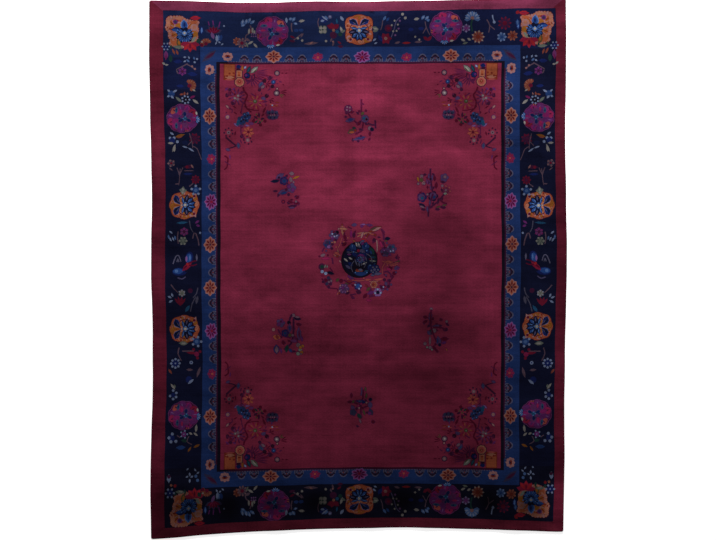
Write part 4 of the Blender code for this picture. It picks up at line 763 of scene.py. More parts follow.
# The wreath in the middle of the field: a dark navy round filled with blue, violet and cream blossom, with sprigs
# and loose flowers of orange, violet and blue about it. It is charted like the rest, out from its own middle.
wreath = [
    *loose_leaves("mulberry", 2.4, -25.5 + 25.6j, -31.6 + 17.4j, -14.8 + 23j, -6 + 24.6j, 0 + 25.6j, 7 + 24.6j, 23.5 + 28j, 13.8 + 18.5j, 21.4 + 9.3j, 30.6 + 10.3j, 36.7 + 2.7j, 33.7 - 13j, 28.6 - 20.3j, 21.4 - 26.4j),
    *loose_leaves("maroon", 2.2, -28.6 + 20.5j, -34.7 + 15.4j, -15.8 + 26j, -5 + 27.6j, 2 + 24j, 11.2 + 27j, 20.4 + 18.5j, 25.5 + 11.3j, 23.5 + 6.2j, 27.6 + 7.2j, 29.6 - 2j, 30.6 - 8j, 31.6 - 16j, 25.5 - 25.4j),
    *loose_leaves("mulberry", 2.4, -16.3 + 16.4j, -38.8 - 6j, -34.7 - 20.3j, -29.6 - 23.4j, -18.4 - 20.8j, -16.3 - 25.4j, -6 - 20.3j, 10.2 - 30.5j, 11.2 - 34.6j, -7 - 37.7j),
    *loose_leaves("maroon", 2.2, -14.3 + 19.5j, -28.6 - 13.2j, -30.6 - 20.3j, -31.6 - 26.4j, -9.2 - 22.3j, -7 - 25.4j, 7 - 26.4j, 5 - 35.6j, 15.3 - 35.6j, -21.4 - 33.6j),
    # the sprigs about the round, from the top and on to the left
    *leaves("mallow", 3.4, -8.6 + 34.6j, -2.6 + 35j), *leaves("lilac", 1.8, 0 + 34.6j, 6 + 35.4j), *leaves("mallow", 2.4, 6 + 35j, 13 + 34.4j), *dots("violet", 1.4, 9.6 + 34.4j, 2 + 33.4j), *leaves("rust", 5, 7.4 + 27j, 22 + 34j),
    *leaves("tan pink", 2.6, 12 + 28.6j, 21.4 + 33j), *leaves("olive", 1.4, 9.4 + 29j, 17.4 + 33.2j), *leaves("peach", 2.4, -3.4 + 26.2j, 13 + 26.6j, -3 + 22.6j, 8 + 27.4j),
    *leaves("coral", 2, -2.6 + 24.4j, 5 + 24.6j, 10 + 25.4j, 16.4 + 25.4j), *leaves("tan pink", 2.2, 1 + 21j, 3.6 + 28j), *dots("rust", 1.3, 8.6 + 25.2j, 7.4 + 23.6j, 15.4 + 24.8j),
    *leaves("magenta", 2, -8.8 + 21.6j, -8.6 + 30j), *leaves("plum", 2.6, -6 + 21.4j, -5.4 + 28j), *twigs("red", 1.4, [1.6 + 20.6j, 5.4 + 20.2j, 8 + 17.6j], [-6.8 + 19.6j, -4 + 18.4j]),
    *leaves("coral", 4.4, -19.4 + 34.4j, -13.6 + 29j), *leaves("peach", 2.8, -17.6 + 34.8j, -17 + 24.4j), *leaves("peach", 2.4, -21.8 + 31.6j, -12 + 30.6j), *dots("rust", 1.1, -15.6 + 28.6j, -17.6 + 35.4j),
    *leaves("maroon", 3, -15.4 + 25.6j, -14.4 + 19.8j), *leaves("tan pink", 2, -22 + 30.6j, -20 + 31.6j),
    ("mallow", round_patch(-25.6 + 24.6j, 5.4, 6, 0.3)), *dots("ink", 1.8, -22.6 + 27.6j), *dots("maroon", 1.5, -25.6 + 27.4j), *dots("violet", 1.7, -27.4 + 21.8j), *dots("mallow", 2, -23.4 + 22.6j),
    *dots("ice", 1, -25.4 + 23.6j, -27.4 + 26j, -23.2 + 24.4j), ("mallow", round_patch(-32 + 15.8j, 5, 6, 0.2)), *dots("band blue", 2, -31.4 + 17.2j, -34 + 14.6j), *dots("lilac", 1.5, -31.6 + 13j),
    *dots("plum", 1.3, -27.8 + 15.6j, -28.4 + 11.4j, -24.4 + 19.6j), *dots("peach", 1.2, -27.8 + 18j, -25.2 + 17.8j),
    *leaves("coral", 2.6, -22.6 + 12j, -21.6 + 2j, -27.4 + 5.4j, -20.4 + 6j), *leaves("peach", 1.8, -26.6 + 4j, -19 + 4.6j, -22.6 + 10.6j, -22 + 5j, -26 + 7.4j, -21 + 8j), *dots("rust", 1.3, -22.8 + 3.6j),
    *leaves("tan pink", 1.6, -21 + 0j, -19 - 3j), *leaves("ash rose", 3, -40 + 3.6j, -34.6 + 5.6j), *dots("maroon", 1, -40.6 + 3.4j, -32.4 + 4.6j), *dots("plum", 3.2, -38 - 7j), *dots("pine", 2.1, -37.8 - 7j),
    *leaves("sage", 1.4, -35.4 - 8.6j, -34.2 - 4.6j, -33 - 8.6j, -32.4 - 5j), *dots("ice", 1.7, -37.6 - 11.8j, -34 - 13.6j), *leaves("navy", 3.2, -33 - 12.2j, -25.4 - 14.2j),
    *leaves("crimson", 1.6, -39.4 - 15.6j, -35.6 - 16.6j), *leaves("mallow", 5.4, -31.6 - 16.6j, -29.4 - 26j), *dots("plum", 1.5, -31 - 20j, -29.4 - 24.2j), *dots("ash rose", 1.2, -31 - 22j, -28.6 - 21j),
    *dots("maroon", 1.7, -34 - 20.6j), *twigs("maroon", 0.9, [-38 - 18.6j, -34 - 25j, -30 - 28.4j, -23 - 28.8j, -21.4 - 33j]), *dots("plum", 1.3, -36.6 - 22j, -31 - 27.4j), *leaves("coral", 2, -23.4 - 35.6j, -20.4 - 31.6j), *dots("rust", 1.1, -20.4 - 33.4j),
    *leaves("olive", 3, -24 - 21.6j, -20.6 - 18.6j), *dots("maroon", 2, -18.8 - 21j), *leaves("rust", 2.4, -15 - 21.4j, -8 - 21.8j), *leaves("olive", 2, -15.4 - 23.4j, -9 - 23.8j),
    # the bottom and the right
    *twigs("mallow", 1.8, [-9 - 16j, -6.4 - 19.6j, -2.6 - 23.4j]), *twigs("violet", 1.2, [-12 - 15.4j, -9 - 18.6j, -5 - 21.6j]), ("mallow", round_patch(-15.9 - 28.8j, 5.2, 6, 0.2)), *sprig("lilac", -15.9 - 28.8j, 1.6, 4.8, 8, 1.1),
    *dots("violet", 1.4, -17 - 28j), *dots("tan pink", 0.9, -19.6 - 25.6j, -12.6 - 31.4j, -20.4 - 31j), *leaves("plum", 2, -14.6 - 34.4j, -10 - 32j),
    ("deep blue", round_patch(-1.8 - 26.4j, 4, 5, 0.2)), *dots("bright blue", 2.6, -1.8 - 26.2j), *dots("ice", 1, -0.8 - 28.8j, 1 - 26j, -4.6 - 24.8j), *leaves("plum", 4.6, -4 - 31j, 1.4 - 33j),
    *leaves("maroon", 3.4, 7 - 33.4j, 3.4 - 38.6j), *leaves("maroon", 2, -9.6 - 36j, -7 - 34.6j), *leaves("coral", 2.4, 2 - 20.4j, 12 - 19.6j, 12 - 21j, 24 - 18.6j), *leaves("peach", 1.6, 9 - 22j, 19 - 21.4j),
    ("peach", round_patch(14 - 24.8j, 3.8, 6, 0.2)), *dots("orange", 2.4, 14 - 24.8j), *dots("rust", 1.2, 13.4 - 24.8j, 19.4 - 22.6j), *leaves("olive", 3, 6.6 - 31j, 10.4 - 27.4j), *leaves("rust", 1.4, 5 - 24j, 8 - 28j),
    *leaves("violet", 3.2, 7 - 34.4j, 15.4 - 31.4j), ("lilac", round_patch(17.9 - 32.4j, 4.4, 6, 0.15)), *dots("ice", 1.2, 17.8 - 29.6j, 20.6 - 33j, 15.4 - 33.4j), *dots("navy", 1.7, 17.9 - 32.6j),
    *twigs("mulberry", 1.2, [21.7 - 26.9j, 25.2 - 29j, 29 - 26j, 29.8 - 21j]), *dots("mallow", 1.2, 23 - 29.6j, 27.6 - 29.4j, 31.4 - 24.4j, 27 - 23j), *dots("plum", 1.5, 21.6 - 27.6j, 24.6 - 19.8j, 29.8 - 20.4j, 28.6 - 26.4j), *dots("ice", 0.8, 23.6 - 27j), *leaves("mallow", 3, 25.4 - 21.4j, 27 - 26j),
    *dots("maroon", 2, 30.4 - 7.8j), *leaves("mallow", 4, 33.6 - 8.8j, 39.4 - 6.8j), *leaves("violet", 2, 36 - 8.4j, 39.6 - 7.6j), *dots("maroon", 1.8, 34.6 - 13j), *twigs("mulberry", 1.1, [24 - 12j, 28 - 11.6j, 31 - 14.6j, 31.6 - 18j]),
    *leaves("coral", 2.4, 22.4 - 1.4j, 33.6 - 1.6j), *leaves("peach", 1.6, 26 - 3.4j, 31.6 - 1j, 33 - 3.6j, 38.6 - 0.6j), *dots("rust", 1, 29.4 - 0.6j), *leaves("olive", 1.6, 36 - 1.8j, 40 - 0.4j),
    *leaves("plum", 3, 34.6 + 2.4j, 39.6 + 2.6j), ("mallow", round_patch(25 + 8j, 4.8, 6, 0.2)), *dots("dusk", 2, 25 + 7.6j), *dots("violet", 1.4, 23.6 + 10.4j), *dots("plum", 1.2, 22 + 6j, 24.6 + 12.4j),
    ("mallow", round_patch(31.6 + 11.4j, 5, 6, 0.25)), *dots("teal", 2.6, 32 + 12.4j), *dots("ice", 0.9, 30.4 + 9j, 33 + 9.4j, 28.4 + 13j), *leaves("violet", 1.8, 27.6 + 7j, 31 + 4.6j), *leaves("navy", 3.6, 24.4 + 21j, 30.6 + 22j),
    *leaves("plum", 3.8, 12.4 + 19.4j, 16.4 + 20j), *leaves("olive", 1.4, 24 + 19j, 28 + 19.4j), *twigs("tan pink", 1.2, [16.8 + 19.6j, 17.2 + 13j, 16.8 + 8j]), *twigs("mulberry", 1.4, [21.6 + 31j, 23.6 + 26j, 24 + 20j]), *leaves("plum", 2, 23 + 19j, 24 + 14j),
    *leaves("rose", 2.4, 20 + 19j, 22.4 + 12j), *leaves("plum", 1.6, 17.4 + 23j, 21 + 22.4j), *dots("maroon", 1.2, 16.4 + 5.6j),
    # thin stems that tie them together
    *twigs("maroon", 0.8, [-12 + 33j, -8 + 31j], [22 + 29j, 25 + 25j], [37 + 6j, 38.6 + 0j], [34 - 16j, 31 - 20j], [-30 - 8j, -27 - 12j], [-16 - 20j, -10 - 24j], [22 - 12j, 27 - 17j]),
    *twigs("mulberry", 1, [-36 + 12j, -38 + 8j], [-28 + 2j, -27 - 4j], [-10 - 35j, -4 - 34j], [9 - 37j, 14 - 36j], [22 + 18j, 25 + 14j]), *leaves("rose", 2.6, -39 + 1j, -29 + 1.6j, 26 - 8j, 31 - 10j, 6 - 40j, 12 - 41j),
    *leaves("coral", 3, 24 - 1.6j, 33 - 2j, 30 - 4.6j, 38 - 4j, -26 + 8j, -20 + 5j), *dots("dusk", 1.6, -24.6 + 26j, -33 + 17.4j, 27 + 6.6j, 30 + 13j, -31.4 - 18j, -33 - 24j), *dots("lilac", 0.8, -31 + 14.4j, 33 + 11j, 24 + 9.6j, -28 + 23j),
    *twigs("coral", 1, [-18 + 22j, -20 + 16j, -22 + 12j], [25 - 3j, 22 - 8j, 23 - 14j], [-8 - 20j, 0 - 21j, 6 - 20j], [22 - 1j, 30 - 4j, 38 - 2j]),
    *dots("coral", 1, 27 - 5j, 31 - 5.4j, 35 - 4.6j, -16 + 18j, -12 + 22j, 6 + 22j, -12 - 19j, 4 - 18.4j, -24 + 13j), *dots("mallow", 1, 27 + 17j, 34 + 8j, 36 - 12j, -34 + 9j, -28 + 19j, 26 - 15j),
]
wreath_round = [
    *leaves("maroon", 3, -18 + 14j, -13.4 + 17.4j), ("ink", round_patch(-0.8, 17.9, steps=28)), ("navy", round_patch(-0.6 + 0.4j, 16.2, steps=24)), ("ink", round_patch(-3 - 6j, 9)),
    ("band blue", blade(-5.6 + 4j, -8.4 + 16.6j, 7, 0.66)), ("deep blue", blade(-4.6 + 2.4j, -7.4 + 10.6j, 4.6)), ("band blue", blade(3.4 + 5j, 6.6 + 17.4j, 8, 0.66)),
    ("deep blue", blade(3 + 2.6j, 8.4 + 11.4j, 5.6)), *dots("deep blue", 1.6, 5 + 14j, 4.6 + 6.6j), *leaves("heather", 3, -0.4 + 15.6j, 4.4 + 19.6j), *leaves("violet", 2.4, 1 + 14.6j, 4 + 17.6j),
    *dots("heather", 3.2, 1.6 + 7.4j), *dots("heather", 1.4, 2.4 + 8j), *dots("crimson", 1.6, -1.8 + 9j), *leaves("stone", 1.8, -4.8 + 18.6j, -2.6 + 12.4j, -2.2 + 18j, -1.4 + 12j, -0.2 + 14.4j, -0.2 + 11.8j),
    *leaves("russet", 1.8, -7.4 + 19.6j, -4.4 + 17.8j), *leaves("stone", 1, -3.8 + 17.8j, -2.4 + 12.8j),
    ("deep blue", round_patch(0.8 + 1.8j, 5.8, 7, 0.2)), ("violet", round_patch(0.8 + 1.8j, 4)), *leaves("heather", 1.2, -1.4 + 4j, 0 - 1j, 0.6 + 4.4j, 1.8 - 0.6j, 2.8 + 4j, 4 + 0.4j), *dots("deep blue", 1.3, -1.6 + 2j),
    *leaves("stone", 2.3, -16.8 + 2j, -11.8 - 2.2j, -12 + 3j, -7.2 + 0j), *leaves("stone", 2.6, 1.8 - 5j, 7.2 - 2.4j), *leaves("deep blue", 2.6, -14 + 9.8j, -9 + 10.6j), *leaves("violet", 1.9, -13.4 + 5.6j, -8.8 + 5.4j),
    *leaves("heather", 1.5, -14 + 8j, -9.6 + 7.6j), *leaves("heather", 2.6, -14.6 - 5j, -9 - 9j), *leaves("deep blue", 4, -12 - 2.4j, -7 - 6j), *leaves("stone", 1.4, -5.6 + 1j, -2.6 - 6j, -1.4 - 2j, -0.6 - 7j),
    *leaves("heather", 1.4, 5 + 3.4j, 6.6 - 1.4j), *leaves("pine", 4.6, 9.4 + 12.6j, 14 + 5j), *leaves("band blue", 2.4, 9.6 + 9.6j, 11.6 + 5.4j), *leaves("pine", 3.2, 9.6 + 2.6j, 16 + 2.4j), *leaves("band blue", 1.2, 11 + 2.6j, 14.4 + 2.4j),
    *leaves("sage", 1.6, 9 - 1j, 16 - 1.4j), *leaves("maroon", 1.4, 8 + 0.6j, 13 + 0.8j), ("russet", blade(-4.6 - 10.4j, 3.4 - 10.4j, 4.4, bend=-0.1)), *leaves("stone", 2.6, -1.6 - 9.6j, 2.8 - 10.4j), *leaves("rust", 1.8, -4 - 9j, -1.8 - 10.8j),
    ("band blue", blade(-6.6 - 12.8j, 8.4 - 13.2j, 4.2, bend=-0.08)), *leaves("teal", 1.6, 4 - 11.6j, 9 - 11j), ("deep blue", blade(7 - 6.4j, 12.4 - 8.4j, 6)), *dots("band blue", 2.4, 10.2 - 7j), *leaves("teal", 1.6, 12.6 - 6j, 15.4 - 3.4j),
    ("deep blue", round_patch(14.6 - 9.8j, 5.4, 7, 0.2)), *dots("stone", 1.1, 16.6 - 7.2j, 18 - 10j, 16.4 - 12.4j, 13.2 - 12.6j, 11.4 - 10.8j, 13 - 7.6j), *dots("heather", 1.5, 14.6 - 9.8j),
    *leaves("heather", 3, 14 - 14.6j, 22 - 13.4j), *leaves("heather", 2, 10.4 - 15.4j, 15 - 15.6j),
    *leaves("cream", 1.6, -16.4 + 1.8j, -12.2 - 1.6j, -11.6 + 2.6j, -8 + 0.4j, 2.4 - 4.6j, 6.8 - 2.6j, -4 + 17.4j, -3 + 13j, -1.4 + 17j, -1 + 13.4j),
    *twigs("stone", 0.7, [-6 - 1j, -9 - 6j, -7 - 12j], [3 - 1j, 5.6 - 4j, 4 - 8j], [6 + 6j, 10.6 + 3j, 12 - 3j], [-3 + 7j, -8 + 8j, -12 + 6j], [0.6 + 4j, 1.4 - 6j]),
    *fan("sky", 9, 320, 1.4, 3.6, 0.7), *dots("sky", 0.8, -4.4 - 12.6j, 7 - 12.8j, 10 - 5.6j, -6.6 + 8j, 6.6 + 9j), *leaves("sky", 1, -8 + 12j, -7.6 + 15.4j, 5.4 + 12j, 6.4 + 15.6j),
]
WREATH_MIDDLE = 1.75 + 5.5j

pattern = ground + band_flowers + great_flowers + side_flowers + end_flowers + corner_groups
pattern += edged(sprays, "mulberry", 0.5)
pattern += placed(edged(wreath, "mulberry", 0.4) + edged(wreath_round, "ink", 0.35), WREATH_MIDDLE)


# How the rug lies: its sides wander a little and their edges ripple, as the solid's do, so both are read from the
# solid. The pile has soft creases from its folds, which catch the light, and they are laid here.
WANDER_REACH = 0.75
RIPPLE_REACH = 0.24
PILE_TOP = 0.012
CHART_MIDDLE = (0.001, 0.0205)  # where the middle of the chart lies, since the far end bows less than the near one
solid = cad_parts["rug"].data
solid_tree = BVHTree.FromPolygons([v.co for v in solid.vertices], [p.vertices[:] for p in solid.polygons])


def smooth(t):
    """Goes from 0 to 1 with level ends."""
    t = np.clip(t, 0, 1)
    return t * t * (3 - 2 * t)


def side_of_solid(inward, along, half_across, half_along):
    """How far out a side of the solid stands from its nominal line, and how high its edge is lifted, all along it."""
    middle = Vector((*CHART_MIDDLE, 0))
    places = np.arange(-half_along + 0.02, half_along, 0.02)
    outs, lifts = [], []
    for place in places:
        start = middle - inward * (half_across + 0.3) + along * place + Vector((0, 0, 0.008))
        hit = solid_tree.ray_cast(start, inward, 0.5)[0]
        outs.append((middle - hit).dot(inward) - half_across)
        above = hit + inward * 0.009 + Vector((0, 0, 0.05))
        lifts.append(solid_tree.ray_cast(above, Vector((0, 0, -1)), 0.2)[0].z - PILE_TOP)
    return places, outs, lifts


SIDES = {
    "left": side_of_solid(Vector((1, 0, 0)), Vector((0, 1, 0)), WIDTH / 2, LENGTH / 2),
    "right": side_of_solid(Vector((-1, 0, 0)), Vector((0, 1, 0)), WIDTH / 2, LENGTH / 2),
    "top": side_of_solid(Vector((0, -1, 0)), Vector((1, 0, 0)), LENGTH / 2, WIDTH / 2),
    "bottom": side_of_solid(Vector((0, 1, 0)), Vector((1, 0, 0)), LENGTH / 2, WIDTH / 2),
}


def from_sides(x, y):
    """How far in from each side points of the chart are."""
    return {"left": x + WIDTH / 2, "right": WIDTH / 2 - x, "top": LENGTH / 2 - y, "bottom": y + LENGTH / 2}


def laid(x, y):
    """Where points of the chart lie on the floor; the knotted lines also wobble a little, as no hand is even."""
    inward = from_sides(x, y)
    moved = {}
    for side, distance in inward.items():
        places, outs, _ = SIDES[side]
        along = y if side in ("left", "right") else x
        moved[side] = np.interp(along, places, outs) * (1 - smooth(distance / WANDER_REACH))
    wobble = 0.0011 * smooth(np.minimum.reduce(list(inward.values())) / 0.08)
    out_x = moved["right"] - moved["left"] + wobble * (np.sin(9 * y + 1) + np.sin(23 * y + 3 * x))
    out_y = moved["top"] - moved["bottom"] + wobble * (np.sin(8 * x + 2) + np.sin(19 * x + 4 * y))
    return x + out_x + CHART_MIDDLE[0], y + out_y + CHART_MIDDLE[1]


def on_chart(x, y):
    """The other way about: which point of the chart lies at each point of the floor."""
    chart_x, chart_y = x - CHART_MIDDLE[0], y - CHART_MIDDLE[1]
    for _ in range(4):
        now_x, now_y = laid(chart_x, chart_y)
        chart_x, chart_y = chart_x + x - now_x, chart_y + y - now_y
    return chart_x, chart_y


def ripple_height(x, y):
    """How far the sides' ripples lift points of the chart."""
    lift = 0
    for side, distance in from_sides(x, y).items():
        places, _, lifts = SIDES[side]
        along = y if side in ("left", "right") else x
        lift = lift + np.interp(along, places, lifts) * (1 - smooth(distance / RIPPLE_REACH))
    return lift


CREASES = [  # where each runs on the chart, half its breadth in squares, its height in metres and how much paler it is painted: a painted highlight along the crease, painted shade where below 0
    {"along": [-76 + 108j, -20 + 110j, 40 + 111j, 82 + 118j, 100 + 110j], "half": 9, "rise": 0.0026, "pale": 0.22},
    {"along": [-60 + 107j, -10 + 108j, 34 + 107j, 90 + 113j, 141 + 116j], "half": 3.5, "rise": 0.0008, "pale": 0.16},
    {"along": [-38 + 186j, 45 + 158j, 102 + 138j], "half": 6, "rise": 0.0016, "pale": 0.15},
    {"along": [-10 + 122j, 34 + 126j, 82 + 136j], "half": 4, "rise": 0.0008, "pale": 0.12},
    {"along": [1 + 200j, 1 + 30j], "half": 9, "rise": 0.0012, "pale": 0.12},
    {"along": [-134 - 44j, 0 - 45j, 142 - 43j], "half": 6, "rise": 0.0018, "pale": 0.14},
    {"along": [-3 - 92j, 30 - 95j, 60 - 91j, 102 - 92j], "half": 5, "rise": 0.0012, "pale": 0.12},
    {"along": [30 + 5j, 70 + 7j, 112 + 5j], "half": 4, "rise": 0.0012, "pale": 0.12},
    {"along": [-3 - 135j, -4 - 170j, -3 - 203j], "half": 6, "rise": -0.0010, "pale": -0.12},
    {"along": [8 - 58j, 14 - 90j, 10 - 122j], "half": 9, "rise": 0.0006, "pale": 0.12},
]


def in_creases(x, y, column):
    """What one column of the creases adds up to at points of the chart."""
    z = (x + 1j * y) / SQUARE
    total = np.zeros(len(x))
    for crease in CREASES:
        nearest = np.full(len(x), 1e9)
        for a, b in zip(crease["along"], crease["along"][1:]):
            share = np.clip(((z - a) * np.conj(b - a)).real / abs(b - a) ** 2, 0, 1)
            nearest = np.minimum(nearest, np.abs(z - a - share * (b - a)))
        total += crease[column] * (1 - smooth(nearest / crease["half"]))
    return total


# Painted light and shade: soft places of the same wool are painted paler or darker, following how the light falls along
# the rug
# and across the pile of its folds: each has its middle on the chart, its reach across and up in squares, and how much
# paler.
PAINTED_LIGHT_PATCHES = [
    (0 + 228j, 420, 42, -0.45), (0 - 238j, 420, 40, -0.35), (60 + 185j, 60, 30, -0.26), (34 + 140j, 40, 22, -0.20),
    (-100 + 108j, 40, 30, -0.14), (100 - 70j, 60, 40, -0.16), (60 - 170j, 80, 40, -0.12),
    (-60 + 180j, 60, 40, -0.08), (6 + 170j, 40, 26, 0.22), (95 + 165j, 50, 30, -0.10), (30 + 190j, 60, 16, 0.08),
    (0 + 80j, 170, 60, 0.12), (-30 + 72j, 62, 30, 0.18), (14 + 84j, 30, 60, 0.12), (-116 + 90j, 34, 50, 0.22),
    (110 + 78j, 40, 26, 0.20), (95 + 135j, 50, 26, -0.16), (-50 + 132j, 46, 20, -0.14), (-95 + 30j, 60, 30, 0.10),
    (100 + 26j, 60, 34, -0.06), (-118 - 26j, 34, 34, 0.22), (124 - 28j, 30, 36, 0.26), (-40 - 30j, 60, 20, 0.06),
    (0 - 92j, 220, 50, -0.26), (0 - 140j, 230, 60, -0.16), (-100 - 90j, 50, 40, -0.06), (60 - 76j, 60, 30, -0.06),
    (-118 - 165j, 40, 50, -0.08), (100 - 180j, 60, 40, 0.06), (10 - 180j, 80, 30, 0.06), (-75 - 60j, 60, 16, -0.16),
    (-199 + 215j, 16, 50, -0.10), (-199 + 170j, 16, 26, -0.24), (-199 + 132j, 16, 24, 0.22), (-199 + 102j, 16, 20, 0.2), (-199 + 66j, 16, 40, -0.18), (-199 - 14j, 16, 40, 0.40),
    (-199 - 94j, 16, 40, 0.16), (-199 - 172j, 16, 40, 0.42), (-196 - 240j, 20, 40, -0.40),
    (202 + 146j, 16, 36, 0.36), (202 + 62j, 16, 40, -0.24), (202 - 16j, 16, 40, -0.34), (202 - 94j, 16, 36, 0.38),
    (202 - 240j, 26, 40, 1.70), (-190 + 262j, 40, 26, -0.24), (196 + 262j, 34, 26, -0.36),
    (80 - 30j, 66, 250, -0.14), (-42 + 60j, 30, 60, 0.09), (24 - 36j, 92, 10, -0.20), (20 - 111j, 170, 10, -0.16),
    (44 - 133j, 40, 18, -0.16), (80 - 90j, 34, 17, -0.18), (-28 + 66j, 14, 12, 0.08), (102 + 64j, 30, 20, -0.06),
    (1 + 236.5j, 24, 20, 0.50), (-170 - 239j, 32, 26, -0.45), (176 - 236j, 30, 26, -0.35), (180 + 60j, 26, 22, 0.45),
    (-174 - 63j, 22, 20, -0.20), (-50 + 147j, 24, 14, 0.14), (50 + 186j, 40, 16, -0.14), (105 - 62j, 30, 20, -0.20),
    (-112 + 172j, 44, 40, -0.16), (118 + 172j, 44, 40, -0.12), (112 - 172j, 44, 40, -0.24), (198 + 155j, 14, 36, -0.26),
    (60 + 60j, 40, 20, 0.16), (-10 + 96j, 24, 26, -0.16), (104 + 2j, 40, 40, -0.14), (-12 - 110j, 40, 26, 0.10),
    (110 - 36j, 22, 22, -0.22), (92 - 20j, 22, 34, -0.28), (132 + 30j, 12, 34, 0.22), (85 - 113j, 50, 20, -0.28),
    (0 - 190j, 260, 20, -0.20), (0 - 202j, 260, 14, -0.24), (-50 + 25j, 26, 14, 0.32), (-14 - 96j, 60, 9, 0.26),
    (22 - 171j, 26, 13, 0.30), (100 + 190j, 50, 16, -0.18), (-90 - 35j, 22, 12, 0.26), (-112 - 88j, 20, 24, 0.22),
    (-10 + 124j, 14, 30, -0.22), (132 - 50j, 12, 18, 0.2), (132 - 5j, 14, 14, -0.25), (-130 + 124j, 16, 16, -0.26),
    (-130 - 140j, 16, 14, -0.35), (-40 + 70j, 24, 10, 0.14), (88 + 100j, 18, 30, -0.12),
    (1 + 145j, 26, 26, -0.28), (-74 + 78j, 28, 26, -0.34), (74 + 74j, 28, 28, -0.28), (-70 - 72j, 28, 28, -0.34),
    (74 - 58j, 28, 32, -0.50), (3 - 138j, 40, 22, -0.24), (2 + 5j, 46, 46, -0.30), (30 + 6j, 14, 34, -0.30),
    (-112 + 140j, 40, 44, -0.30), (112 + 146j, 40, 44, -0.36), (116 - 190j, 44, 18, -0.50), (126 - 128j, 18, 40, -0.36),
    (-126 - 124j, 18, 34, -0.40), (6 + 100j, 36, 12, -0.34), (96 + 80j, 26, 22, -0.22), (72 + 38j, 44, 20, -0.26),
    (-50 - 96j, 14, 9, 0.45), (10 - 95j, 16, 9, 0.30), (130 + 66j, 12, 18, 0.30), (180 + 60j, 26, 24, 0.40),
    (180 + 148j, 24, 22, -0.34), (-175 + 147j, 24, 22, -0.22), (-84 - 239j, 26, 20, -0.60), (87 - 235j, 26, 20, -0.42),
    (1 - 236j, 24, 20, -0.36), (-170 - 240j, 26, 24, -0.35), (176 - 236j, 24, 22, -0.25), (135 + 193j, 14, 14, -0.32),
    (-131 + 193j, 14, 14, -0.20), (1 - 210j, 16, 10, -0.45), (152 + 150j, 12, 14, -0.40), (-148 + 149j, 12, 14, -0.30),
    (0 + 267j, 420, 6, 0.50), (-202 + 244j, 16, 30, 0.50), (-200 + 118j, 12, 22, 0.40), (-200 + 84j, 12, 20, 0.24),
    (203 + 244j, 14, 24, 0.34), (203 + 200j, 12, 30, -0.20), (203 - 160j, 12, 30, 0.40), (203 - 122j, 12, 24, 0.26),
    (-130 - 239j, 24, 22, -0.70), (-43 - 238j, 24, 22, -0.70), (44 - 236j, 24, 22, -0.70), (131 - 236j, 24, 22, -0.75),
    (170 - 261j, 40, 8, 0.36), (-190 - 261j, 20, 9, -0.40),
]


def painted_light_and_shade(x, y):
    """How much of its dye's light the pile is painted with at points of the chart: painted light and shade on the
    creases and the soft places.
    """
    z = (x + 1j * y) / SQUARE
    pale = 1 + in_creases(x, y, "pale")
    for middle, across, along, paler in PAINTED_LIGHT_PATCHES:
        reach = np.hypot((z.real - middle.real) / across, (z.imag - middle.imag) / along)
        pale *= 1 + paler * (1 - smooth(reach))
    return pale


# The woven rug: the web with its pile, as one closed sheet. The top is cut into triangles along every patch's edge
# and takes its dyes from them; the rounded edge carries the guard's wool down to the floor, and on the underside
# the knots show the larger parts of the same pattern.
GRID = 0.036  # between the extra points that let the pile follow its ripples
BACK_GRID = 0.07
EDGE_STEP = 0.018
SMALLEST_ON_BACK = 0.003  # square metres
EDGE_WOOL = "shaded side guard"
CORNER_RADIUS = 0.012
EDGE_PROFILE = [
    {"inset": 0.0075, "height": PILE_TOP},
    {"inset": 0.0030, "height": 0.0110},
    {"inset": 0.0008, "height": 0.0085},
    {"inset": 0.0, "height": 0.0045},
    {"inset": 0.0004, "height": 0.0012},
    {"inset": 0.0020, "height": 0.0},
]


def rug_outline(inset):
    """The rug's nominal outline, this far in, as points in metres; every inset has the same number of them."""
    corners = []
    radius = CORNER_RADIUS - inset
    for sign_x, sign_y, start in ((1, 1, 0), (-1, 1, 90), (-1, -1, 180), (1, -1, 270)):
        middle = complex(sign_x * (WIDTH / 2 - CORNER_RADIUS), sign_y * (LENGTH / 2 - CORNER_RADIUS))
        corners.append([middle + cmath.rect(radius, math.radians(start + turn)) for turn in (0, 30, 60, 90)])
    points = []
    for k, corner in enumerate(corners):
        points += corner
        after = corners[(k + 1) % 4][0]
        count = round((LENGTH if k % 2 else WIDTH) / EDGE_STEP)
        points += [corner[-1] + (after - corner[-1]) * n / count for n in range(1, count)]
    return points


def in_short_steps(shape, longest):
    """The same outline with points along its long edges, so that it can bend with the rug."""
    fine = []
    for a, b in zip(shape, shape[1:] + shape[:1]):
        count = math.ceil(abs(b - a) / longest)
        fine += [a + (b - a) * n / count for n in range(max(count, 1))]
    return fine


def as_laid(points):
    """Points of the chart, in metres, as they lie on the floor."""
    flat = np.array(points)
    return np.column_stack(laid(flat.real, flat.imag))


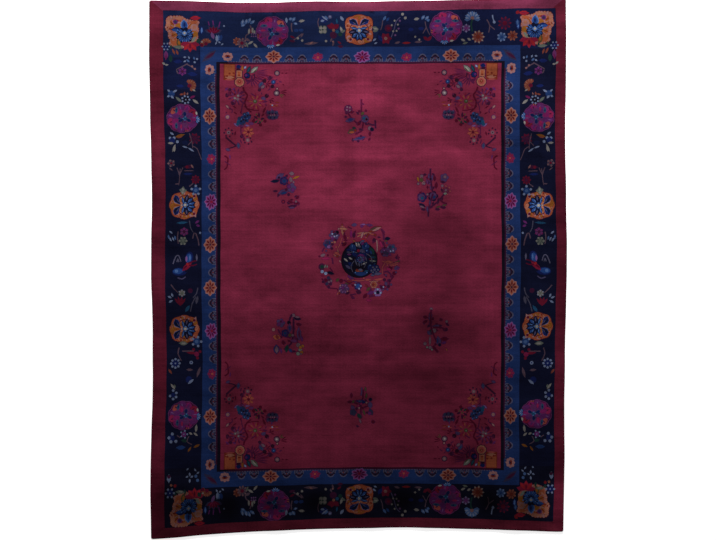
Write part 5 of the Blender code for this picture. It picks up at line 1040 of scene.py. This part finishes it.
def cut_out(outline, patches, spacing):
    """Triangles over an outline, cut where wools meet; also the dye of each, and where the outline's points went."""
    names = [EDGE_WOOL, *[dye for dye, _ in patches]]
    points, faces = [], []
    for _, shape in [("", outline), *patches]:
        fine = in_short_steps(shape if double_area(shape) > 0 else shape[::-1], spacing)
        faces.append(list(range(len(points), len(points) + len(fine))))
        points += fine
    made = delaunay_2d_cdt([Vector(place) for place in as_laid(points)], [], faces, 1, 1e-6, True)
    inside = [(triangle, names[max(sources)]) for triangle, sources in zip(made[2], made[5]) if 0 in sources]

    # Only the lines where one wool meets another are kept, and the rug is cut along them afresh.
    beside = {}
    for triangle, dye in inside:
        for a, b in zip(triangle, triangle[1:] + triangle[:1]):
            beside.setdefault((min(a, b), max(a, b)), set()).add(dye)
    lines = [ends for ends, dyes in beside.items() if len(dyes) > 1]
    across = np.arange(-WIDTH / 2 + 0.6 * spacing, WIDTH / 2 - spacing / 2, spacing)
    along = np.arange(-LENGTH / 2 + 0.6 * spacing, LENGTH / 2 - spacing / 2, spacing)
    rim = [Vector(place) for place in as_laid(outline)]
    grid = [Vector(place) for place in as_laid([complex(x, y) for x in across for y in along])]
    met = {k: len(rim) + len(grid) + n for n, k in enumerate(sorted({end for ends in lines for end in ends}))}
    lines = [(met[a], met[b]) for a, b in lines]
    places = [*rim, *grid, *[made[0][k] for k in met]]
    verts, _, triangles, origins, _, sources = delaunay_2d_cdt(places, lines, [list(range(len(rim)))], 1, 1e-6, True)
    triangles = [triangle for triangle, source in zip(triangles, sources) if source]

    first_cut = BVHTree.FromPolygons([v.to_3d() for v in made[0]], [triangle for triangle, _ in inside])
    dyes = []
    for triangle in triangles:
        middle = sum((verts[k] for k in triangle), Vector((0, 0))) / 3
        dyes.append(inside[first_cut.find_nearest(middle.to_3d())[2]][1])
    used = {k: n for n, k in enumerate(sorted({k for triangle in triangles for k in triangle}))}
    where = {source: used[k] for k, row in enumerate(origins) for source in row if source < len(rim)}
    verts = np.array([verts[k][:] for k in used])
    return verts, [[used[k] for k in triangle] for triangle in triangles], dyes, [where[k] for k in range(len(rim))]


def in_metres(patches, smallest=0.0):
    """The patches in metres, without those that are smaller than this area."""
    shapes = [(dye, [z * SQUARE for z in outline]) for dye, outline in patches]
    return [(dye, shape) for dye, shape in shapes if abs(double_area(shape)) / 2 > smallest]


def weave_rug():
    """The whole rug as one closed mesh, with its dyes on its faces' corners, lightened and darkened there by the
    painted light and shade.
    """
    top, triangles, dyes, top_loop = cut_out(rug_outline(EDGE_PROFILE[0]["inset"]), in_metres(pattern), GRID)
    rings = [as_laid(rug_outline(row["inset"])) for row in EDGE_PROFILE[1:-1]]
    back_outline = rug_outline(EDGE_PROFILE[-1]["inset"])
    back, back_triangles, back_dyes, back_loop = cut_out(back_outline, in_metres(pattern, SMALLEST_ON_BACK), BACK_GRID)

    flat = [top, *rings, back]
    starts = np.cumsum([0] + [len(part) for part in flat])
    places, pale = [], []
    for part, row in zip(flat, EDGE_PROFILE):
        x, y = on_chart(part[:, 0], part[:, 1])
        crease = in_creases(x, y, "rise") if row["height"] == PILE_TOP else 0
        places.append(np.column_stack([part, row["height"] + ripple_height(x, y) + crease]))
        pale.append(painted_light_and_shade(x, y))
    places, pale = np.vstack(places), np.concatenate(pale)

    loops = [[starts[0] + k for k in top_loop]]
    loops += [[starts[n + 1] + k for k in range(len(ring))] for n, ring in enumerate(rings)]
    loops += [[starts[-2] + k for k in back_loop]]
    faces = [tuple(face) for face in triangles]
    for upper, lower in zip(loops, loops[1:]):
        for k in range(len(upper)):
            after = (k + 1) % len(upper)
            faces.append((upper[k], lower[k], lower[after], upper[after]))
            dyes.append(EDGE_WOOL)
    faces += [tuple(int(starts[-2]) + k for k in reversed(face)) for face in back_triangles]
    dyes += back_dyes

    mesh = bpy.data.meshes.new("woven_rug")
    mesh.from_pydata(places.tolist(), [], faces)
    mesh.shade_smooth()
    colours = mesh.color_attributes.new("dye", "FLOAT_COLOR", "CORNER")
    linear = {}
    for name, dye in DYES.items():
        linear[name] = [((c / 255 + 0.055) / 1.055) ** 2.4 if c > 10 else c / 255 / 12.92 for c in dye] + [1.0]
    values = np.repeat(np.array([linear[dye] for dye in dyes]), [len(face) for face in faces], axis=0)
    # each corner's dye is lightened and darkened by the painted light and shade
    values[:, :3] *= pale[np.concatenate(faces)][:, None]
    colours.data.foreach_set("color", values.ravel())
    rug = bpy.data.objects.new("woven_rug", mesh)
    bpy.context.scene.collection.objects.link(rug)
    return rug


class Yarn:
    """A value in the wool's shader, so that sums on it add the nodes that do them."""

    def __init__(self, tree, socket=None):
        self.tree = tree
        self.socket = socket

    def node(self, kind, settings=None, values=None, out=0):
        """Adds one node: its settings first, then the values or links of its sockets."""
        made = self.tree.nodes.new(kind)
        for name, value in (settings or {}).items():
            setattr(made, name, value)
        for name, value in (values or {}).items():
            if isinstance(value, Yarn):
                self.tree.links.new(value.socket, made.inputs[name])
            else:
                made.inputs[name].default_value = value
        return Yarn(self.tree, made.outputs[out])

    def sum(self, operation, first, second):
        return self.node("ShaderNodeMath", {"operation": operation}, {0: first, 1: second})

    def __add__(self, other):
        return self.sum("ADD", self, other)

    def __radd__(self, other):
        return self.sum("ADD", other, self)

    def __sub__(self, other):
        return self.sum("SUBTRACT", self, other)

    def __rsub__(self, other):
        return self.sum("SUBTRACT", other, self)

    def __mul__(self, other):
        return self.sum("MULTIPLY", self, other)

    def __rmul__(self, other):
        return self.sum("MULTIPLY", other, self)


def knotted_wool():
    """Matt wool pile: each knot a little lighter or darker, streaks where the dye lots change along the weft."""
    material = bpy.data.materials.new("knotted_wool")
    material.use_nodes = True
    tree = material.node_tree
    shader = tree.nodes["Principled BSDF"]
    shader.inputs["Roughness"].default_value = 0.9
    shader.inputs["Sheen Weight"].default_value = 0.03
    shader.inputs["Sheen Roughness"].default_value = 0.5
    shader.inputs["Sheen Tint"].default_value = (1.0, 0.5, 0.7, 1.0)
    shader.inputs["Specular IOR Level"].default_value = 0.01

    yarn = Yarn(tree)
    place = yarn.node("ShaderNodeTexCoord", out=3)
    # the corners' dye colours already carry the painted light and shade
    dye = yarn.node("ShaderNodeVertexColor", {"layer_name": "dye"})

    def grain(scale, detail=2.0, stretch=(1, 1, 1)):
        spread = yarn.node("ShaderNodeVectorMath", {"operation": "MULTIPLY"}, {0: place, 1: stretch})
        return yarn.node("ShaderNodeTexNoise", values={"Vector": spread, "Scale": scale, "Detail": detail})

    knots = grain(95, 3)
    wefts = grain(2.2, 5, (0.6, 24, 1))
    warps = grain(2.2, 4, (30, 0.6, 1))
    clouds = grain(3.2, 4, (0.7, 1.4, 1))
    blotches = grain(11, 3, (0.7, 1.3, 1))
    light = 0.6 * knots + 0.5 * wefts + 0.25 * warps + 1.3 * clouds + 0.8 * blotches - 0.725
    wool = yarn.node("ShaderNodeVectorMath", {"operation": "SCALE"}, {0: dye, "Scale": light})
    tree.links.new(wool.socket, shader.inputs["Base Color"])
    rough = yarn.node("ShaderNodeBump", values={"Strength": 0.6, "Distance": 0.002, "Height": knots + 0.6 * wefts})
    tree.links.new(rough.socket, shader.inputs["Normal"])
    return material


rug = weave_rug()
rug.data.materials.append(knotted_wool())
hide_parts("rug")
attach(rug, "root")


# The studio: a plain white floor under a broad soft lamp past the rug's far end, which leaves the near end darker,
# and a long lens straight above. None of it belongs to the rug.
VIEW_WIDTH = 716 * SQUARE
CAMERA_HEIGHT = 9.0
SENSOR = 36.0


def floor():
    """A broad white floor that glows a little, so that it stays white where the lamp is far."""
    mesh = bpy.data.meshes.new("floor")
    reach = 90
    mesh.from_pydata([(-reach, -reach, 0), (reach, -reach, 0), (reach, reach, 0), (-reach, reach, 0)], [], [(0, 1, 2, 3)])
    material = bpy.data.materials.new("white_floor")
    material.use_nodes = True
    shader = material.node_tree.nodes["Principled BSDF"]
    shader.inputs["Base Color"].default_value = (0.9, 0.9, 0.9, 1)
    shader.inputs["Roughness"].default_value = 0.9
    shader.inputs["Emission Color"].default_value = (1, 1, 1, 1)
    shader.inputs["Emission Strength"].default_value = 0.75
    mesh.materials.append(material)
    made = bpy.data.objects.new("floor", mesh)
    made.location.z = -0.0005
    bpy.context.scene.collection.objects.link(made)


def lamp(name, at, aim, size, power):
    """A broad soft lamp that faces a point."""
    light = bpy.data.lights.new(name, "AREA")
    light.shape = "RECTANGLE"
    light.size, light.size_y = size
    light.energy = power
    made = bpy.data.objects.new(name, light)
    made.location = at
    made.rotation_euler = (Vector(aim) - Vector(at)).to_track_quat("-Z", "Y").to_euler()
    bpy.context.scene.collection.objects.link(made)


floor()
lamp("soft_lamp", (0, 4.0, 2.6), (0, 0.6, 0), (3.4, 1.6), 420)

camera = bpy.data.objects.new("camera", bpy.data.cameras.new("camera"))
camera.data.sensor_width = SENSOR
camera.data.lens = SENSOR * CAMERA_HEIGHT / VIEW_WIDTH
camera.data.clip_end = 200
camera.location = (0.0, -0.009, CAMERA_HEIGHT)
bpy.context.scene.collection.objects.link(camera)
bpy.context.scene.camera = camera

world = bpy.data.worlds.new("studio")
world.use_nodes = True
world.node_tree.nodes["Background"].inputs["Color"].default_value = (1, 1, 1, 1)
world.node_tree.nodes["Background"].inputs["Strength"].default_value = 0.13
bpy.context.scene.world = world
bpy.context.scene.view_settings.view_transform = "Standard"
